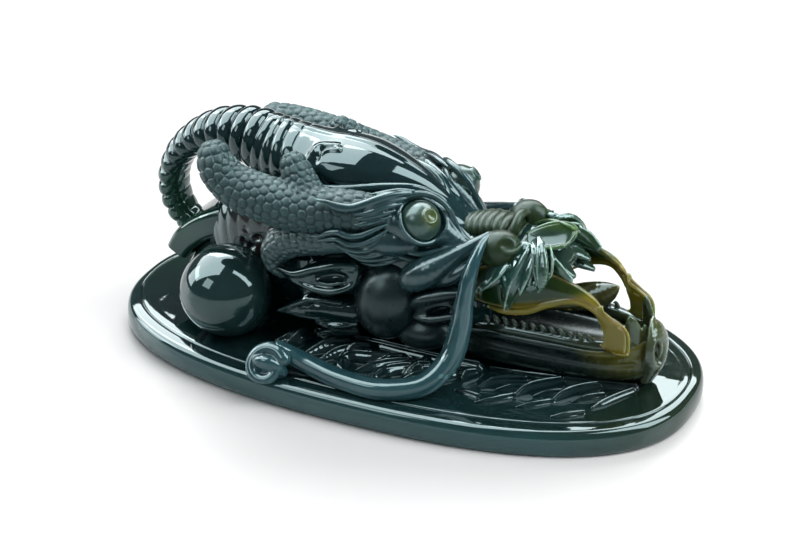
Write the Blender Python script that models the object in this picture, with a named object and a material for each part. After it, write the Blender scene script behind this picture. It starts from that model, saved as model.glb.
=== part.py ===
"""A dragon head carved in jade, lying on an oval slab, with a pearl under its right horn.

Frame: origin at the middle of the slab's flat underside, +X to the dragon's chin, +Z up.
The dragon's right side is -Y. Lengths are written in millimetres and the shape makers turn
them into metres with MM. The stone is one piece in life; each carved element is its own
solid here, set GAP off the elements that it meets.
"""
import math

import bmesh
import bpy
from mathutils import Matrix, Vector

MM = 0.001

# ---- driving dimensions, in millimetres -------------------------------------------
SLAB_LENGTH = 68.0
SLAB_WIDTH = 35.0
SLAB_THICKNESS = 3.2
SLAB_RIM_RADIUS = 0.8
SLAB_SQUARENESS = 2.45  # exponent of the outline: 2 is an ellipse
PEARL_RADIUS = 5.3
EYE_RADIUS = 2.3
NOSTRIL_RADIUS = 2.2
GAP = 0.3  # clearance between neighbouring solids
OUTLINE_POINTS = 56
SMALL_SIDES = 8
TUBE_SIDES = 10
BODY_SIDES = 14

STONE = SLAB_THICKNESS  # height at which the relief starts
MIRROR = Matrix.Scale(-1, 4, Vector((0, 1, 0)))


# ---- scene, materials and bookkeeping ---------------------------------------------
def clear_scene():
    for obj in list(bpy.data.objects):
        bpy.data.objects.remove(obj)


def new_collection(name):
    collection = bpy.data.collections.new(name)
    bpy.context.scene.collection.children.link(collection)
    return collection


def new_material(name, colour, roughness):
    material = bpy.data.materials.new(name)
    material.use_nodes = True
    shader = material.node_tree.nodes["Principled BSDF"]
    shader.inputs["Base Color"].default_value = (*colour, 1)
    shader.inputs["Roughness"].default_value = roughness
    shader.inputs["Metallic"].default_value = 0
    return material


clear_scene()
CARVING = new_collection("jade_dragon_head")
CUTTERS = new_collection("cutters")
POLISHED = new_material("jade_polished", (0.035, 0.085, 0.09), 0.12)
FROSTED = new_material("jade_frosted", (0.12, 0.22, 0.22), 0.5)
OLIVE = new_material("jade_olive", (0.2, 0.2, 0.04), 0.15)
finished = []  # (grown cutter, lowest corner, highest corner) of each piece made so far


# ---- shape makers: each takes grow, the extra radius of a clearance cutter -----------
def mesh_object(name, bm):
    bmesh.ops.recalc_face_normals(bm, faces=bm.faces)
    mesh = bpy.data.meshes.new(name)
    bm.to_mesh(mesh)
    bm.free()
    return bpy.data.objects.new(name, mesh)


def ball(centre, radii, segments=14, rings=9, tilt=(0, 0, 0)):
    """An ellipsoid with half-axes radii, tilted by Euler angles in degrees."""

    def make(name, grow=0.0):
        bm = bmesh.new()
        bmesh.ops.create_uvsphere(bm, u_segments=segments, v_segments=rings, radius=1)
        size = Matrix.Diagonal([(r + grow) * MM for r in radii] + [1])
        turn = Matrix.Rotation(math.radians(tilt[2]), 4, "Z")
        turn @= Matrix.Rotation(math.radians(tilt[1]), 4, "Y")
        turn @= Matrix.Rotation(math.radians(tilt[0]), 4, "X")
        place = Matrix.Translation(Vector(centre) * MM)
        bmesh.ops.transform(bm, matrix=place @ turn @ size, verts=bm.verts)
        return mesh_object(name, bm)

    return make


def ring(centre, axis, major, minor):
    """A torus round axis, as an eyelid round its eyeball."""

    def make(name, grow=0.0):
        turn = Vector(axis).to_track_quat("Z", "Y")
        bpy.ops.mesh.primitive_torus_add(
            location=Vector(centre) * MM,
            rotation=turn.to_euler(),
            major_radius=major * MM,
            minor_radius=(minor + grow) * MM,
            major_segments=20,
            minor_segments=SMALL_SIDES,
        )
        obj = bpy.context.object
        obj.name = name
        obj.data.transform(obj.matrix_world)
        obj.matrix_world = Matrix.Identity(4)
        obj.users_collection[0].objects.unlink(obj)
        return obj

    return make


def tube(stations, sides=TUBE_SIDES):
    """A round bar through stations of (x, y, z, radius), as a bevelled poly curve."""

    def make(name, grow=0.0):
        curve = bpy.data.curves.new(name, "CURVE")
        curve.dimensions = "3D"
        curve.bevel_depth = MM
        curve.bevel_resolution = sides // 2 - 2
        curve.use_fill_caps = True
        line = curve.splines.new("POLY")
        points = extended(stations, grow)
        line.points.add(len(points) - 1)
        for point, (x, y, z, radius) in zip(line.points, points):
            point.co = (x * MM, y * MM, z * MM, 1)
            point.radius = radius + grow
        obj = bpy.data.objects.new(name, curve)
        bpy.context.scene.collection.objects.link(obj)
        solid = as_mesh(obj, name)
        bpy.data.objects.remove(obj)
        return solid

    return make


def rounded(stations, steps=2):
    """The stations with steps - 1 more between each two, on a smooth curve through them."""
    path = []
    for i in range(len(stations) - 1):
        a, b, c, d = (stations[min(max(i + k, 0), len(stations) - 1)] for k in range(-1, 3))
        for k in range(steps):
            t = k / steps
            path.append(tuple(
                q + 0.5 * t * (r - p + t * (2 * p - 5 * q + 4 * r - s + t * (3 * (q - r) + s - p)))
                for p, q, r, s in zip(a, b, c, d)
            ))
    return [*path, tuple(stations[-1])]


def extended(stations, grow):
    """The stations with their two ends pushed out by grow."""
    points = [list(s) for s in stations]
    for end, inner in ((0, 1), (-1, -2)):
        out = Vector(points[end][:3]) - Vector(points[inner][:3])
        points[end][:3] = Vector(points[end][:3]) + out.normalized() * grow
    return points


def loft(stations, facing=(0, 0, 1), sides=BODY_SIDES, squareness=2.0):
    """A body through oval sections (x, y, z, half_width, half_depth).

    The depth of a section lies along facing, as near as the path's direction lets it,
    and its width is square to both. A squareness over 2 fills the section's corners.
    """

    def bulge(value):
        return math.copysign(abs(value) ** (2 / squareness), value)

    def make(name, grow=0.0):
        points = [Vector(s[:3]) for s in extended(stations, grow)]
        bm = bmesh.new()
        rings = []
        for i, point in enumerate(points):
            before, after = points[max(i - 1, 0)], points[min(i + 1, len(points) - 1)]
            along = (after - before).normalized()
            depth = Vector(facing)
            depth = (depth - along * depth.dot(along)).normalized()
            width = along.cross(depth)
            half_width, half_depth = stations[i][3] + grow, stations[i][4] + grow
            turn = [2 * math.pi * k / sides for k in range(sides)]
            rings.append([
                bm.verts.new((point + width * half_width * bulge(math.cos(a))
                              + depth * half_depth * bulge(math.sin(a))) * MM)
                for a in turn
            ])
        for first, second in zip(rings, rings[1:]):
            for k in range(sides):
                n = (k + 1) % sides
                bm.faces.new((first[k], first[n], second[n], second[k]))
        bm.faces.new(rings[0])
        bm.faces.new(rings[-1])
        return mesh_object(name, bm)

    return make


def joined(*makers):
    """Several overlapping shapes as one body."""

    def make(name, grow=0.0):
        first = makers[0](name, grow)
        bpy.context.scene.collection.objects.link(first)
        for i, maker in enumerate(makers[1:]):
            other = as_cutter(maker(f"{name}_joined_{i}", grow))
            boolean(first, other, "UNION")
        solid = as_mesh(first, name)
        bpy.data.objects.remove(first)
        return solid

    return make


def scooped(maker, *hollows):
    """A shape with hollows cut in it. Its clearance cutter stays whole."""

    def make(name, grow=0.0):
        if grow:
            return maker(name, grow)
        body = maker(name)
        bpy.context.scene.collection.objects.link(body)
        for i, hollow in enumerate(hollows):
            boolean(body, as_cutter(hollow(f"{name}_hollow_{i}")), "DIFFERENCE")
        solid = as_mesh(body, name)
        bpy.data.objects.remove(body)
        return solid

    return make


# ---- turning shapes into pieces --------------------------------------------------------
def as_mesh(obj, name):
    """The evaluated object as a new mesh object in world space, with its seams welded."""
    bpy.context.view_layer.update()
    graph = bpy.context.evaluated_depsgraph_get()
    mesh = bpy.data.meshes.new_from_object(obj.evaluated_get(graph))
    mesh.transform(obj.matrix_world)
    bm = bmesh.new()
    bm.from_mesh(mesh)
    bmesh.ops.remove_doubles(bm, verts=bm.verts, dist=0.002 * MM)
    bmesh.ops.triangulate(bm, faces=bm.faces)
    keep_largest(bm)
    bm.to_mesh(mesh)
    bm.free()
    mesh.name = name
    return bpy.data.objects.new(name, mesh)


def keep_largest(bm):
    """Drops the crumbs that a cut can leave beside the main body."""
    left, bodies = set(bm.verts), []
    while left:
        body, edge_of_body = set(), [left.pop()]
        while edge_of_body:
            vert = edge_of_body.pop()
            body.add(vert)
            near = {e.other_vert(vert) for e in vert.link_edges} & left
            left -= near
            edge_of_body += near
        bodies.append(body)
    bodies.sort(key=len)
    crumbs = [vert for body in bodies[:-1] for vert in body]
    bmesh.ops.delete(bm, geom=crumbs, context="VERTS")


def as_cutter(obj):
    CUTTERS.objects.link(obj)
    obj.hide_render = True
    obj.display_type = "WIRE"
    return obj


def boolean(obj, other, operation):
    modifier = obj.modifiers.new(other.name, "BOOLEAN")
    modifier.operation = operation
    modifier.solver = "EXACT"
    modifier.object = other


def corners(obj):
    points = [v.co for v in obj.data.vertices]
    low = Vector([min(p[i] for p in points) for i in range(3)])
    high = Vector([max(p[i] for p in points) for i in range(3)])
    return low, high


def meets(box, other):
    return all(box[0][i] < other[1][i] and other[0][i] < box[1][i] for i in range(3))


def add(obj, material):
    obj.data.materials.clear()
    obj.data.materials.append(material)
    obj.data.shade_smooth()
    obj.data.set_sharp_from_angle(angle=math.radians(35))
    CARVING.objects.link(obj)


def piece(name, maker, material):
    """Makes a piece, cut back by GAP from every earlier piece that it meets."""
    rough = maker(name)
    bpy.context.scene.collection.objects.link(rough)
    box = corners(rough)
    for cutter, low, high in finished:
        if meets(box, (low, high)):
            boolean(rough, cutter, "DIFFERENCE")
    solid = as_mesh(rough, name)
    bpy.data.objects.remove(rough)
    solid.name = name
    add(solid, material)
    cutter = as_cutter(maker(f"{name}_clear", GAP))
    finished.append((cutter, *corners(cutter)))


def mirrored(maker, drop=0.0):
    """The shape on the other side of the middle plane, drop lower."""

    def make(name, grow=0.0):
        obj = maker(name, grow)
        obj.data.transform(Matrix.Translation((0, 0, -drop * MM)) @ MIRROR)
        obj.data.flip_normals()
        return obj

    return make


def pair(name, maker, material, left_drop=0.0):
    """The piece on the dragon's right side (-Y), and its mirror image on the left."""
    piece(f"right_{name}", maker, material)
    piece(f"left_{name}", mirrored(maker, left_drop), material)


# ---- the slab ------------------------------------------------------------------------
def slab_outline():
    """The slab's plan: a superellipse, as points in millimetres."""
    power = 2 / SLAB_SQUARENESS
    for i in range(OUTLINE_POINTS):
        angle = 2 * math.pi * i / OUTLINE_POINTS
        c, s = math.cos(angle), math.sin(angle)
        yield (
            SLAB_LENGTH / 2 * math.copysign(abs(c) ** power, c),
            SLAB_WIDTH / 2 * math.copysign(abs(s) ** power, s),
        )


def make_slab():
    curve = bpy.data.curves.new("base_slab", "CURVE")
    curve.dimensions = "2D"
    curve.fill_mode = "BOTH"
    curve.extrude = (SLAB_THICKNESS / 2 - SLAB_RIM_RADIUS) * MM
    curve.bevel_depth = SLAB_RIM_RADIUS * MM
    curve.bevel_resolution = 1
    curve.offset = -SLAB_RIM_RADIUS * MM
    outline = list(slab_outline())
    line = curve.splines.new("POLY")
    line.points.add(len(outline) - 1)
    for point, (x, y) in zip(line.points, outline):
        point.co = (x * MM, y * MM, 0, 1)
    line.use_cyclic_u = True
    rough = bpy.data.objects.new("base_slab", curve)
    rough.location.z = SLAB_THICKNESS / 2 * MM
    bpy.context.scene.collection.objects.link(rough)
    slab = as_mesh(rough, "base_slab")
    bpy.data.objects.remove(rough)
    slab.name = "base_slab"
    add(slab, POLISHED)
    bm = bmesh.new()
    bmesh.ops.create_cube(bm, size=1)
    height = 2 * SLAB_THICKNESS + GAP
    size = Vector((1.2 * SLAB_LENGTH, 1.4 * SLAB_WIDTH, height)) * MM
    place = Vector((0, 0, SLAB_THICKNESS + GAP - height / 2)) * MM
    move = Matrix.Translation(place) @ Matrix.Diagonal([*size, 1])
    bmesh.ops.transform(bm, matrix=move, verts=bm.verts)
    cutter = as_cutter(mesh_object("base_slab_clear", bm))
    finished.append((cutter, *corners(cutter)))


# ---- the head's cores ------------------------------------------------------------------
def make_cores():
    skull = loft([
        (-21.5, 0, 8.6, 2.6, 4.0),
        (-18.5, 0, 10.4, 4.6, 6.6),
        (-13, 0, 11.5, 5.8, 8.2),
        (-6, 0, 11.9, 6.4, 8.6),
        (1, 0, 11.6, 6.6, 8.4),
        (6, 0, 11.0, 5.9, 7.0),
        (9, 0, 10.8, 4.6, 5.2),
    ], squareness=2.3)
    forehead = loft([
        (-6.5, 0, 17.6, 4.6, 2.6),
        (-2, 0, 18.0, 6.4, 3.3),
        (2.5, 0, 17.7, 6.5, 3.4),
        (6.0, 0, 16.1, 4.9, 2.7),
        (8.8, 0, 15.5, 3.6, 2.1),
    ])
    piece("skull", joined(skull, forehead), POLISHED)
    snout = loft([
        (9.4, 0, 15.3, 4.3, 2.7),
        (12, 0, 15.2, 4.1, 2.7),
        (15, 0, 15.4, 3.8, 2.6),
        (17.5, 0, 15.6, 3.0, 2.1),
        (18.8, 0, 15.6, 2.0, 1.3),
    ], squareness=2.4)
    piece("snout", snout, POLISHED)
    jaw = loft(rounded([
        (9.6, 0, 5.8, 5.0, 2.3),
        (14, 0, 5.7, 4.9, 2.2),
        (19, 0, 5.8, 4.7, 2.2),
        (23.6, 0, 6.0, 4.3, 2.1),
        (26.8, 0, 6.4, 3.4, 2.1),
        (28.6, 0, 6.8, 2.0, 1.5),
    ]), squareness=3.2)
    piece("lower_jaw", jaw, POLISHED)


# ---- the crown, the ribbed hanging hook and the scroll behind it --------------------------
def make_crest():
    crown = [
        (3.4, 0, 20.7, 0.9, 0.8),
        (1.6, 0, 21.3, 2.2, 1.6),
        (-1.5, 0, 22.0, 3.3, 2.3),
        (-4.5, 0, 22.3, 4.2, 2.8),
        (-7.2, 0, 22.2, 4.5, 3.1),
        (-9.4, 0, 22.3, 4.4, 3.0),
        (-13, 0, 22.5, 3.7, 3.1),
        (-16.2, 0, 22.9, 3.2, 3.2),
    ]
    piece("crown", loft(rounded(crown)), POLISHED)
    hook = [
        (-16.6, 0, 22.9, 3.2, 3.2),
        (-19.5, 0, 23.6, 3.1, 2.8),
        (-22.7, 0, 23.5, 2.8, 2.2),
        (-25.7, 0, 22.1, 2.6, 1.8),
        (-28.2, 0, 19.8, 2.4, 1.6),
        (-29.5, 0, 16.9, 2.2, 1.5),
        (-29.4, 0, 14.1, 2.0, 1.4),
        (-28.2, 0, 11.9, 1.9, 1.4),
        (-26.6, 0, 10.8, 1.8, 1.3),
    ]
    ribbed = loft(with_ribs(hook), facing=(0, 1, 0), sides=10)
    piece("hanging_hook", ribbed, POLISHED)
    scroll = [
        (-27.9, 0, 8.1, 3.4, 1.5),
        (-26.9, 0, 9.7, 3.5, 1.55),
        (-25.2, 0, 11.1, 3.5, 1.55),
        (-23.0, 0, 12.2, 3.4, 1.5),
        (-20.4, 0, 13.2, 3.0, 1.6),
        (-18.4, 0, 13.8, 2.6, 1.6),
    ]
    foot = [
        (-27.6, 0, 2.4, 2.5, 1.3),
        (-26.0, 0, 5.4, 2.7, 1.5),
        (-23.8, 0, 8.2, 2.8, 1.7),
        (-21.4, 0, 10.2, 2.7, 1.8),
    ]
    band = joined(
        loft(rounded(scroll), facing=(-1, 0, 1), sides=12, squareness=2.8),
        loft(foot, facing=(-1, 0, 1), sides=12, squareness=2.8),
    )
    piece("tail_scroll", band, POLISHED)


def with_ribs(stations, ribs_per_span=2, depth=0.25):
    """The stations with grooves between ribs, and width and depth swapped for facing +Y."""
    ribbed = []
    for a, b in zip(stations, stations[1:]):
        for k in range(2 * ribs_per_span):
            t = k / (2 * ribs_per_span)
            x, y, z, across, thick = (p + (q - p) * t for p, q in zip(a, b))
            swell = depth if k % 2 else 0
            ribbed.append((x, y, z, thick - depth + swell, across - depth + swell))
    x, y, z, across, thick = stations[-1]
    return [*ribbed, (x, y, z, thick - depth, across - depth)]


# ---- the face, by its right side -----------------------------------------------------------
def make_horns():
    beam = tube(rounded([
        (2.2, -6.2, 20.3, 1.4),
        (-3.3, -7.5, 20.6, 2.1),
        (-8.8, -8.7, 20.3, 2.5),
        (-13.6, -9.1, 20.9, 2.5),
        (-16.9, -9.1, 21.9, 2.3),
        (-18.7, -8.9, 23.4, 2.0),
        (-19.3, -8.5, 24.9, 1.5),
        (-19.4, -8.3, 25.7, 0.8),
    ]))
    tine = tube([
        (-8.2, -7.9, 21.2, 1.9),
        (-9.8, -6.9, 23.1, 1.7),
        (-10.8, -6.4, 24.4, 1.4),
        (-11.3, -6.2, 25.2, 0.7),
    ])
    piece("right_horn", joined(beam, tine), FROSTED)
    flatter_beam = tube(rounded([
        (2.2, 6.2, 19.8, 1.4),
        (-3.3, 6.9, 20.0, 2.0),
        (-8.8, 7.4, 20.4, 2.3),
        (-13.6, 7.6, 21.1, 2.3),
        (-17.5, 7.5, 21.7, 2.1),
        (-20.2, 7.2, 22.3, 1.5),
        (-21.4, 7.0, 22.8, 0.8),
    ]))
    short_tine = tube([
        (-8.6, 6.6, 21.4, 1.7),
        (-10.2, 6.0, 22.8, 1.4),
        (-11.2, 5.7, 23.9, 0.7),
    ])
    piece("left_horn", joined(flatter_beam, short_tine), FROSTED)
    lobe = tube(rounded([
        (-2.6, -7.4, 17.0, 1.2),
        (-6.3, -8.2, 17.0, 1.6),
        (-9.8, -8.5, 16.4, 1.8),
        (-12.2, -8.4, 14.6, 1.7),
        (-12.2, -8.2, 12.7, 1.3),
        (-11.4, -8.0, 11.5, 0.7),
    ]))
    pair("scaled_lobe", lobe, FROSTED)


def make_eyes():
    gaze = Vector((0.71, -0.5, 0.5)).normalized()
    eye = Vector((3.9, -5.3, 19.9))
    pair("eyeball", ball(eye, [EYE_RADIUS] * 3), FROSTED)
    lid_centre = eye - gaze * 0.4
    lid = ring(lid_centre, gaze, major=EYE_RADIUS + GAP + 0.65, minor=0.6)
    pair("eyelid", lid, POLISHED)
    upper = [
        (2.6, -5.0, 23.0, 0.5, 0.5),
        (0.4, -6.6, 23.2, 1.1, 0.7),
        (-2.6, -8.2, 23.0, 1.0, 0.7),
        (-5.2, -9.6, 22.7, 0.7, 0.6),
        (-7.6, -10.4, 22.6, 0.3, 0.3),
    ]
    strand = loft(rounded(upper), facing=(0, -1, 1), sides=SMALL_SIDES)
    pair("upper_brow", strand, POLISHED, left_drop=0.8)
    lower = [
        (2.2, -6.9, 17.6, 0.7, 0.6),
        (-0.4, -8.1, 17.9, 1.4, 0.8),
        (-3.2, -9.4, 18.0, 1.1, 0.7),
        (-6.0, -10.4, 18.2, 0.4, 0.3),
    ]
    pair("lower_brow", loft(rounded(lower), facing=(0, -1, 0), sides=SMALL_SIDES), POLISHED)


def make_cheeks():
    pair("cheek", ball((0.2, -6.4, 9.7), (3.9, 2.9, 4.4)), POLISHED)
    muscle = tube([
        (1.6, -6.6, 13.0, 1.3),
        (4.3, -6.9, 14.2, 1.7),
        (7.0, -6.6, 15.8, 1.4),
        (9.6, -5.8, 17.3, 0.9),
    ])
    pair("jaw_muscle", muscle, POLISHED)
    corner = ball((6.5, -6.0, 10.9), (2.9, 2.2, 1.9))
    pit = ball((7.2, -8.4, 11.2), (1.5, 1.8, 0.8), segments=10, rings=6)
    pair("mouth_corner", scooped(corner, pit), POLISHED)
    pair("jowl", ball((5.2, -6.1, 7.0), (3.0, 2.1, 1.7)), POLISHED)


def make_ears():
    ear = loft([
        (-12.0, -8.0, 12.6, 0.3, 0.3),
        (-10.0, -8.5, 11.9, 1.2, 0.8),
        (-7.3, -8.9, 11.7, 1.8, 1.1),
        (-4.6, -8.5, 12.2, 1.8, 1.1),
        (-3.4, -7.6, 12.6, 1.3, 0.8),
    ], facing=(0, -1, 0), sides=TUBE_SIDES)
    cup = ball((-6.2, -10.6, 11.9), (2.6, 1.8, 1.1), segments=10, rings=6)
    pair("ear", scooped(ear, cup), POLISHED)
    fin = loft([
        (-12.0, -8.4, 6.8, 0.3, 0.3),
        (-9.2, -8.2, 7.3, 1.2, 0.8),
        (-6.4, -7.8, 7.7, 1.7, 1.2),
        (-4.2, -7.2, 7.8, 1.4, 1.2),
    ], facing=(0, -1, 0), sides=TUBE_SIDES)
    pair("cheek_fin", fin, POLISHED)


def make_nose():
    bridge = loft([
        (5.0, 0, 17.2, 2.0, 0.9),
        (6.4, 0, 17.6, 2.4, 1.2),
        (8.3, 0, 18.0, 2.6, 1.45),
        (10.5, 0, 18.5, 2.6, 1.5),
        (12.4, 0, 18.4, 2.3, 1.4),
        (14.3, 0, 17.7, 1.7, 1.1),
    ], sides=12)
    piece("nose_bridge", bridge, POLISHED)
    nostril = ball((12.5, -3.9, 17.6), [NOSTRIL_RADIUS] * 3, segments=12, rings=8)
    pit = ball((14.5, -4.9, 18.3), (0.9, 0.9, 0.6), segments=8, rings=6)
    pair("nostril", scooped(nostril, pit), POLISHED)
    leaf = loft([
        (15.2, 0, 18.0, 1.8, 0.8),
        (16.8, 0, 18.8, 2.9, 0.8),
        (18.6, 0, 19.2, 3.0, 0.7),
        (20.0, 0, 19.3, 1.6, 0.4),
    ], sides=TUBE_SIDES)
    piece("nose_leaf", leaf, POLISHED)


def make_whiskers():
    curl = ball((-9.8, -15.7, 4.8), (2.4, 1.3, 2.2), tilt=(-35, 0, 0))
    dimple = ball((-9.6, -17.0, 5.6), (1.1, 0.8, 1.0), segments=10, rings=6)
    pair("whisker_curl", scooped(curl, dimple), POLISHED)
    whisker = tube(rounded([
        (11.6, -5.2, 19.4, 0.6),
        (10.9, -6.8, 17.9, 0.8),
        (10.7, -7.9, 15.9, 0.95),
        (10.5, -8.5, 13.4, 1.1),
        (10.3, -9.2, 10.0, 1.25),
        (9.7, -10.6, 6.8, 1.3),
        (7.7, -13.2, 4.7, 1.25),
        (3.6, -15.0, 4.3, 1.2),
        (-1.0, -14.9, 4.3, 1.15),
        (-4.6, -14.4, 4.6, 1.1),
        (-7.2, -14.3, 5.3, 1.0),
        (-9.4, -14.7, 6.0, 0.9),
    ]), sides=8)
    pair("whisker", whisker, POLISHED)


def make_mouth():
    lip = loft(rounded([
        (9.8, -5.2, 13.4, 1.6, 0.7),
        (13, -5.0, 13.6, 2.2, 0.7),
        (16, -4.6, 14.2, 2.2, 0.7),
        (19, -4.2, 14.8, 1.7, 0.65),
        (21.5, -3.9, 14.7, 1.1, 0.6),
        (23.4, -3.65, 13.8, 0.7, 0.6),
    ]), facing=(0, -1, 0), sides=TUBE_SIDES)
    pair("upper_lip", lip, OLIVE)
    fang = loft(rounded([
        (23.9, -3.65, 13.2, 0.6, 0.6),
        (24.5, -3.65, 12.0, 0.7, 0.6),
        (25.2, -3.6, 10.7, 1.1, 0.8),
        (26.2, -3.5, 9.5, 1.3, 0.8),
        (27.2, -3.3, 8.6, 0.7, 0.6),
    ]), facing=(0, -1, 0), sides=SMALL_SIDES)
    pair("fang", fang, OLIVE)
    front = joined(
        frill_leaf((17.6, -3.4, 18.5), (17.9, -5.6, 15.2)),
        frill_leaf((18.6, -3.2, 17.9), (19.8, -5.3, 16.0)),
    )
    rear = joined(
        frill_leaf((15.8, -3.5, 18.3), (14.2, -6.0, 12.7)),
        frill_leaf((16.4, -3.6, 18.6), (16.2, -5.9, 14.3)),
    )
    pair("front_frill", front, POLISHED)
    pair("rear_frill", rear, POLISHED)
    tongue = loft(rounded([
        (8.8, 0, 10.4, 2.0, 0.8),
        (15.5, 0, 10.8, 2.4, 0.9),
        (19.5, 0, 11.5, 2.3, 1.0),
        (22.3, 0, 12.7, 1.6, 0.9),
        (24.3, 0, 14.0, 0.6, 0.4),
    ]), sides=TUBE_SIDES)
    piece("tongue", tongue, OLIVE)
    lower = [(10.8 + 1.9 * i, -4.0 + 0.05 * i, 8.7) for i in range(8)]
    upper = [(10.6 + 1.5 * i, -4.7 + 0.1 * i, 10.9 + 0.15 * i) for i in range(5)]
    pair("lower_teeth", tooth_row(lower, gum=0.6, tooth=1.0), OLIVE)
    pair("upper_teeth", tooth_row(upper, gum=0.6, tooth=1.0), POLISHED)
    chin = loft([
        (28.5, 0, 4.8, 1.9, 0.8),
        (29.6, 0, 7.0, 2.4, 0.9),
        (29.5, 0, 9.2, 2.2, 0.8),
        (29.0, 0, 11.0, 1.2, 0.5),
    ], facing=(1, 0, 0), sides=TUBE_SIDES)
    piece("chin_curl", chin, POLISHED)


def frill_leaf(root, tip):
    """A pointed leaf of the lip's frill, hanging from root to tip."""
    root, tip = Vector(root), Vector(tip)
    shares = ((0.0, 0.8, 0.7), (0.35, 1.1, 0.85), (0.7, 0.8, 0.7), (1.0, 0.25, 0.3))
    stations = []
    for share, wide, deep in shares:
        bow = Vector((0, -0.7, 0)) * math.sin(math.pi * share)
        stations.append((*(root.lerp(tip, share) + bow), wide, deep))
    return loft(stations, facing=(0, -1, 0), sides=SMALL_SIDES)


def tooth_row(places, gum, tooth):
    """A gum strip through places, swelling into a tooth at each."""
    stations = []
    for a, b in zip(places, places[1:]):
        middle = [(p + q) / 2 for p, q in zip(a, b)]
        stations += [(*a, tooth * 0.75, tooth), (*middle, gum * 0.75, gum)]
    stations.append((*places[-1], tooth * 0.75, tooth))
    return loft(stations, sides=SMALL_SIDES)


# ---- hair carved on the slab, the pearl ---------------------------------------------------
def lock(tip, root, half_width, height):
    """A flame of hair lying on the slab, from its pointed tip to its root."""
    tip, root = Vector((*tip, STONE)), Vector((*root, STONE - 0.2))
    side = (root - tip).cross(Vector((0, 0, 1))).normalized()
    shares = ((0.0, 0.12, 0.5), (0.3, 0.75, 0.9), (0.62, 1.0, 1.0), (1.0, 0.7, 0.9))
    stations = []
    for share, wide, tall in shares:
        bow = side * half_width * 0.5 * math.sin(math.pi * share)
        stations.append((*(tip.lerp(root, share) + bow), half_width * wide, height * tall))
    return loft(stations, sides=SMALL_SIDES)


def make_hair():
    mane = [
        lock((-12.2, -9.0), (-5.0, -5.4), 1.7, 1.5),
        lock((-8.8, -10.9), (-1.2, -6.6), 1.8, 1.6),
        lock((-3.6, -12.2), (3.4, -6.8), 1.8, 1.6),
        lock((1.6, -12.9), (7.4, -7.0), 1.6, 1.5),
    ]
    root = loft([(-7.5, -5.8, STONE, 1.1, 1.3), (7.0, -6.6, STONE, 1.1, 1.3)], sides=10)
    pair("mane", joined(root, *mane), POLISHED)
    beard = [
        lock((12.4, -8.4), (16.8, -5.0), 1.2, 1.3),
        lock((16.6, -8.2), (21.0, -4.7), 1.2, 1.3),
        lock((20.8, -7.8), (25.0, -4.3), 1.2, 1.3),
        lock((24.8, -7.0), (28.6, -3.4), 1.1, 1.3),
    ]
    chin_line = loft([(14.0, -5.6, STONE, 0.9, 1.1), (27.6, -4.0, STONE, 0.9, 1.1)], sides=10)
    pair("beard", joined(chin_line, *beard), POLISHED)


def make_pearl():
    centre = (-18.2, -9.0, STONE + PEARL_RADIUS - 0.3)
    pearl = ball(centre, [PEARL_RADIUS] * 3, segments=20, rings=12)
    piece("pearl", pearl, POLISHED)


make_slab()
make_cores()
make_crest()
make_pearl()
make_horns()
make_eyes()
make_cheeks()
make_ears()
make_nose()
make_whiskers()
make_mouth()
make_hair()
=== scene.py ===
"""The jade dragon head: the carved surface, its stone, and the studio round it.

Lengths are written in millimetres and become metres in new_piece().
"""
import math

import bpy
import numpy as np
import openvdb
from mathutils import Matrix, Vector
from mathutils.kdtree import KDTree


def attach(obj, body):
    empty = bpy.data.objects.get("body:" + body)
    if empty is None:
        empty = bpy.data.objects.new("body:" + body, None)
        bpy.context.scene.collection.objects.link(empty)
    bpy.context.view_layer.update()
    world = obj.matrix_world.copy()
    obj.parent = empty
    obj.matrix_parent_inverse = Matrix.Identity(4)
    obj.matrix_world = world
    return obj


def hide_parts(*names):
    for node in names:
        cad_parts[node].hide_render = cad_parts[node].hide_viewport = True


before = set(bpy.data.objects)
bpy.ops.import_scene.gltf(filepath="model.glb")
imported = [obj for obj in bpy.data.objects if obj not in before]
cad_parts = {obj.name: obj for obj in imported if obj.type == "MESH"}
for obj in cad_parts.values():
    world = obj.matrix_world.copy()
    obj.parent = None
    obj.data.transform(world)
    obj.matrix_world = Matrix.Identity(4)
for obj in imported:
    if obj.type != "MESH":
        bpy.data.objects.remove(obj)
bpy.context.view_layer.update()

MM = 0.001
FINE = 0.15  # voxel of the modelling clay
FAR = 9.0  # the distance that clay holds where no form is near
OVAL_REACH, ROD_REACH = 1.3, 1.2  # how far round a form its distance is worked out
STONE = 3.2  # height of the slab's top
TONE = 0.78  # scales every stone colour to the studio's light


# ---- curves -------------------------------------------------------------------------
def smooth(stations, steps=6):
    """Stations on a smooth curve through the given ones."""
    s = np.array(stations, float)
    path = []
    for i in range(len(s) - 1):
        a, b, c, d = (s[min(max(i + k, 0), len(s) - 1)] for k in range(-1, 3))
        for t in np.arange(steps) / steps:
            path.append(0.5 * (2 * b + (c - a) * t + (2 * a - 5 * b + 4 * c - d) * t**2
                               + (3 * (b - c) + d - a) * t**3))
    return np.array([*path, s[-1]])


def unit(v):
    v = np.asarray(v, float)
    return v / max(np.linalg.norm(v), 1e-9)


def blend(low, high, value):
    """0 below low, 1 above high, smooth between."""
    t = np.clip((value - low) / (high - low), 0, 1)
    return t * t * (3 - 2 * t)


# ---- meshes --------------------------------------------------------------------------
def quads_of_grid(rows, columns, closed):
    """Quads of a grid of points; closed joins its last column to its first."""
    r, c = np.meshgrid(np.arange(rows - 1), np.arange(columns - (not closed)), indexing="ij")
    n = (c + 1) % columns
    return np.stack([r * columns + c, r * columns + n,
                     (r + 1) * columns + n, (r + 1) * columns + c], -1).reshape(-1, 4)


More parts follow.
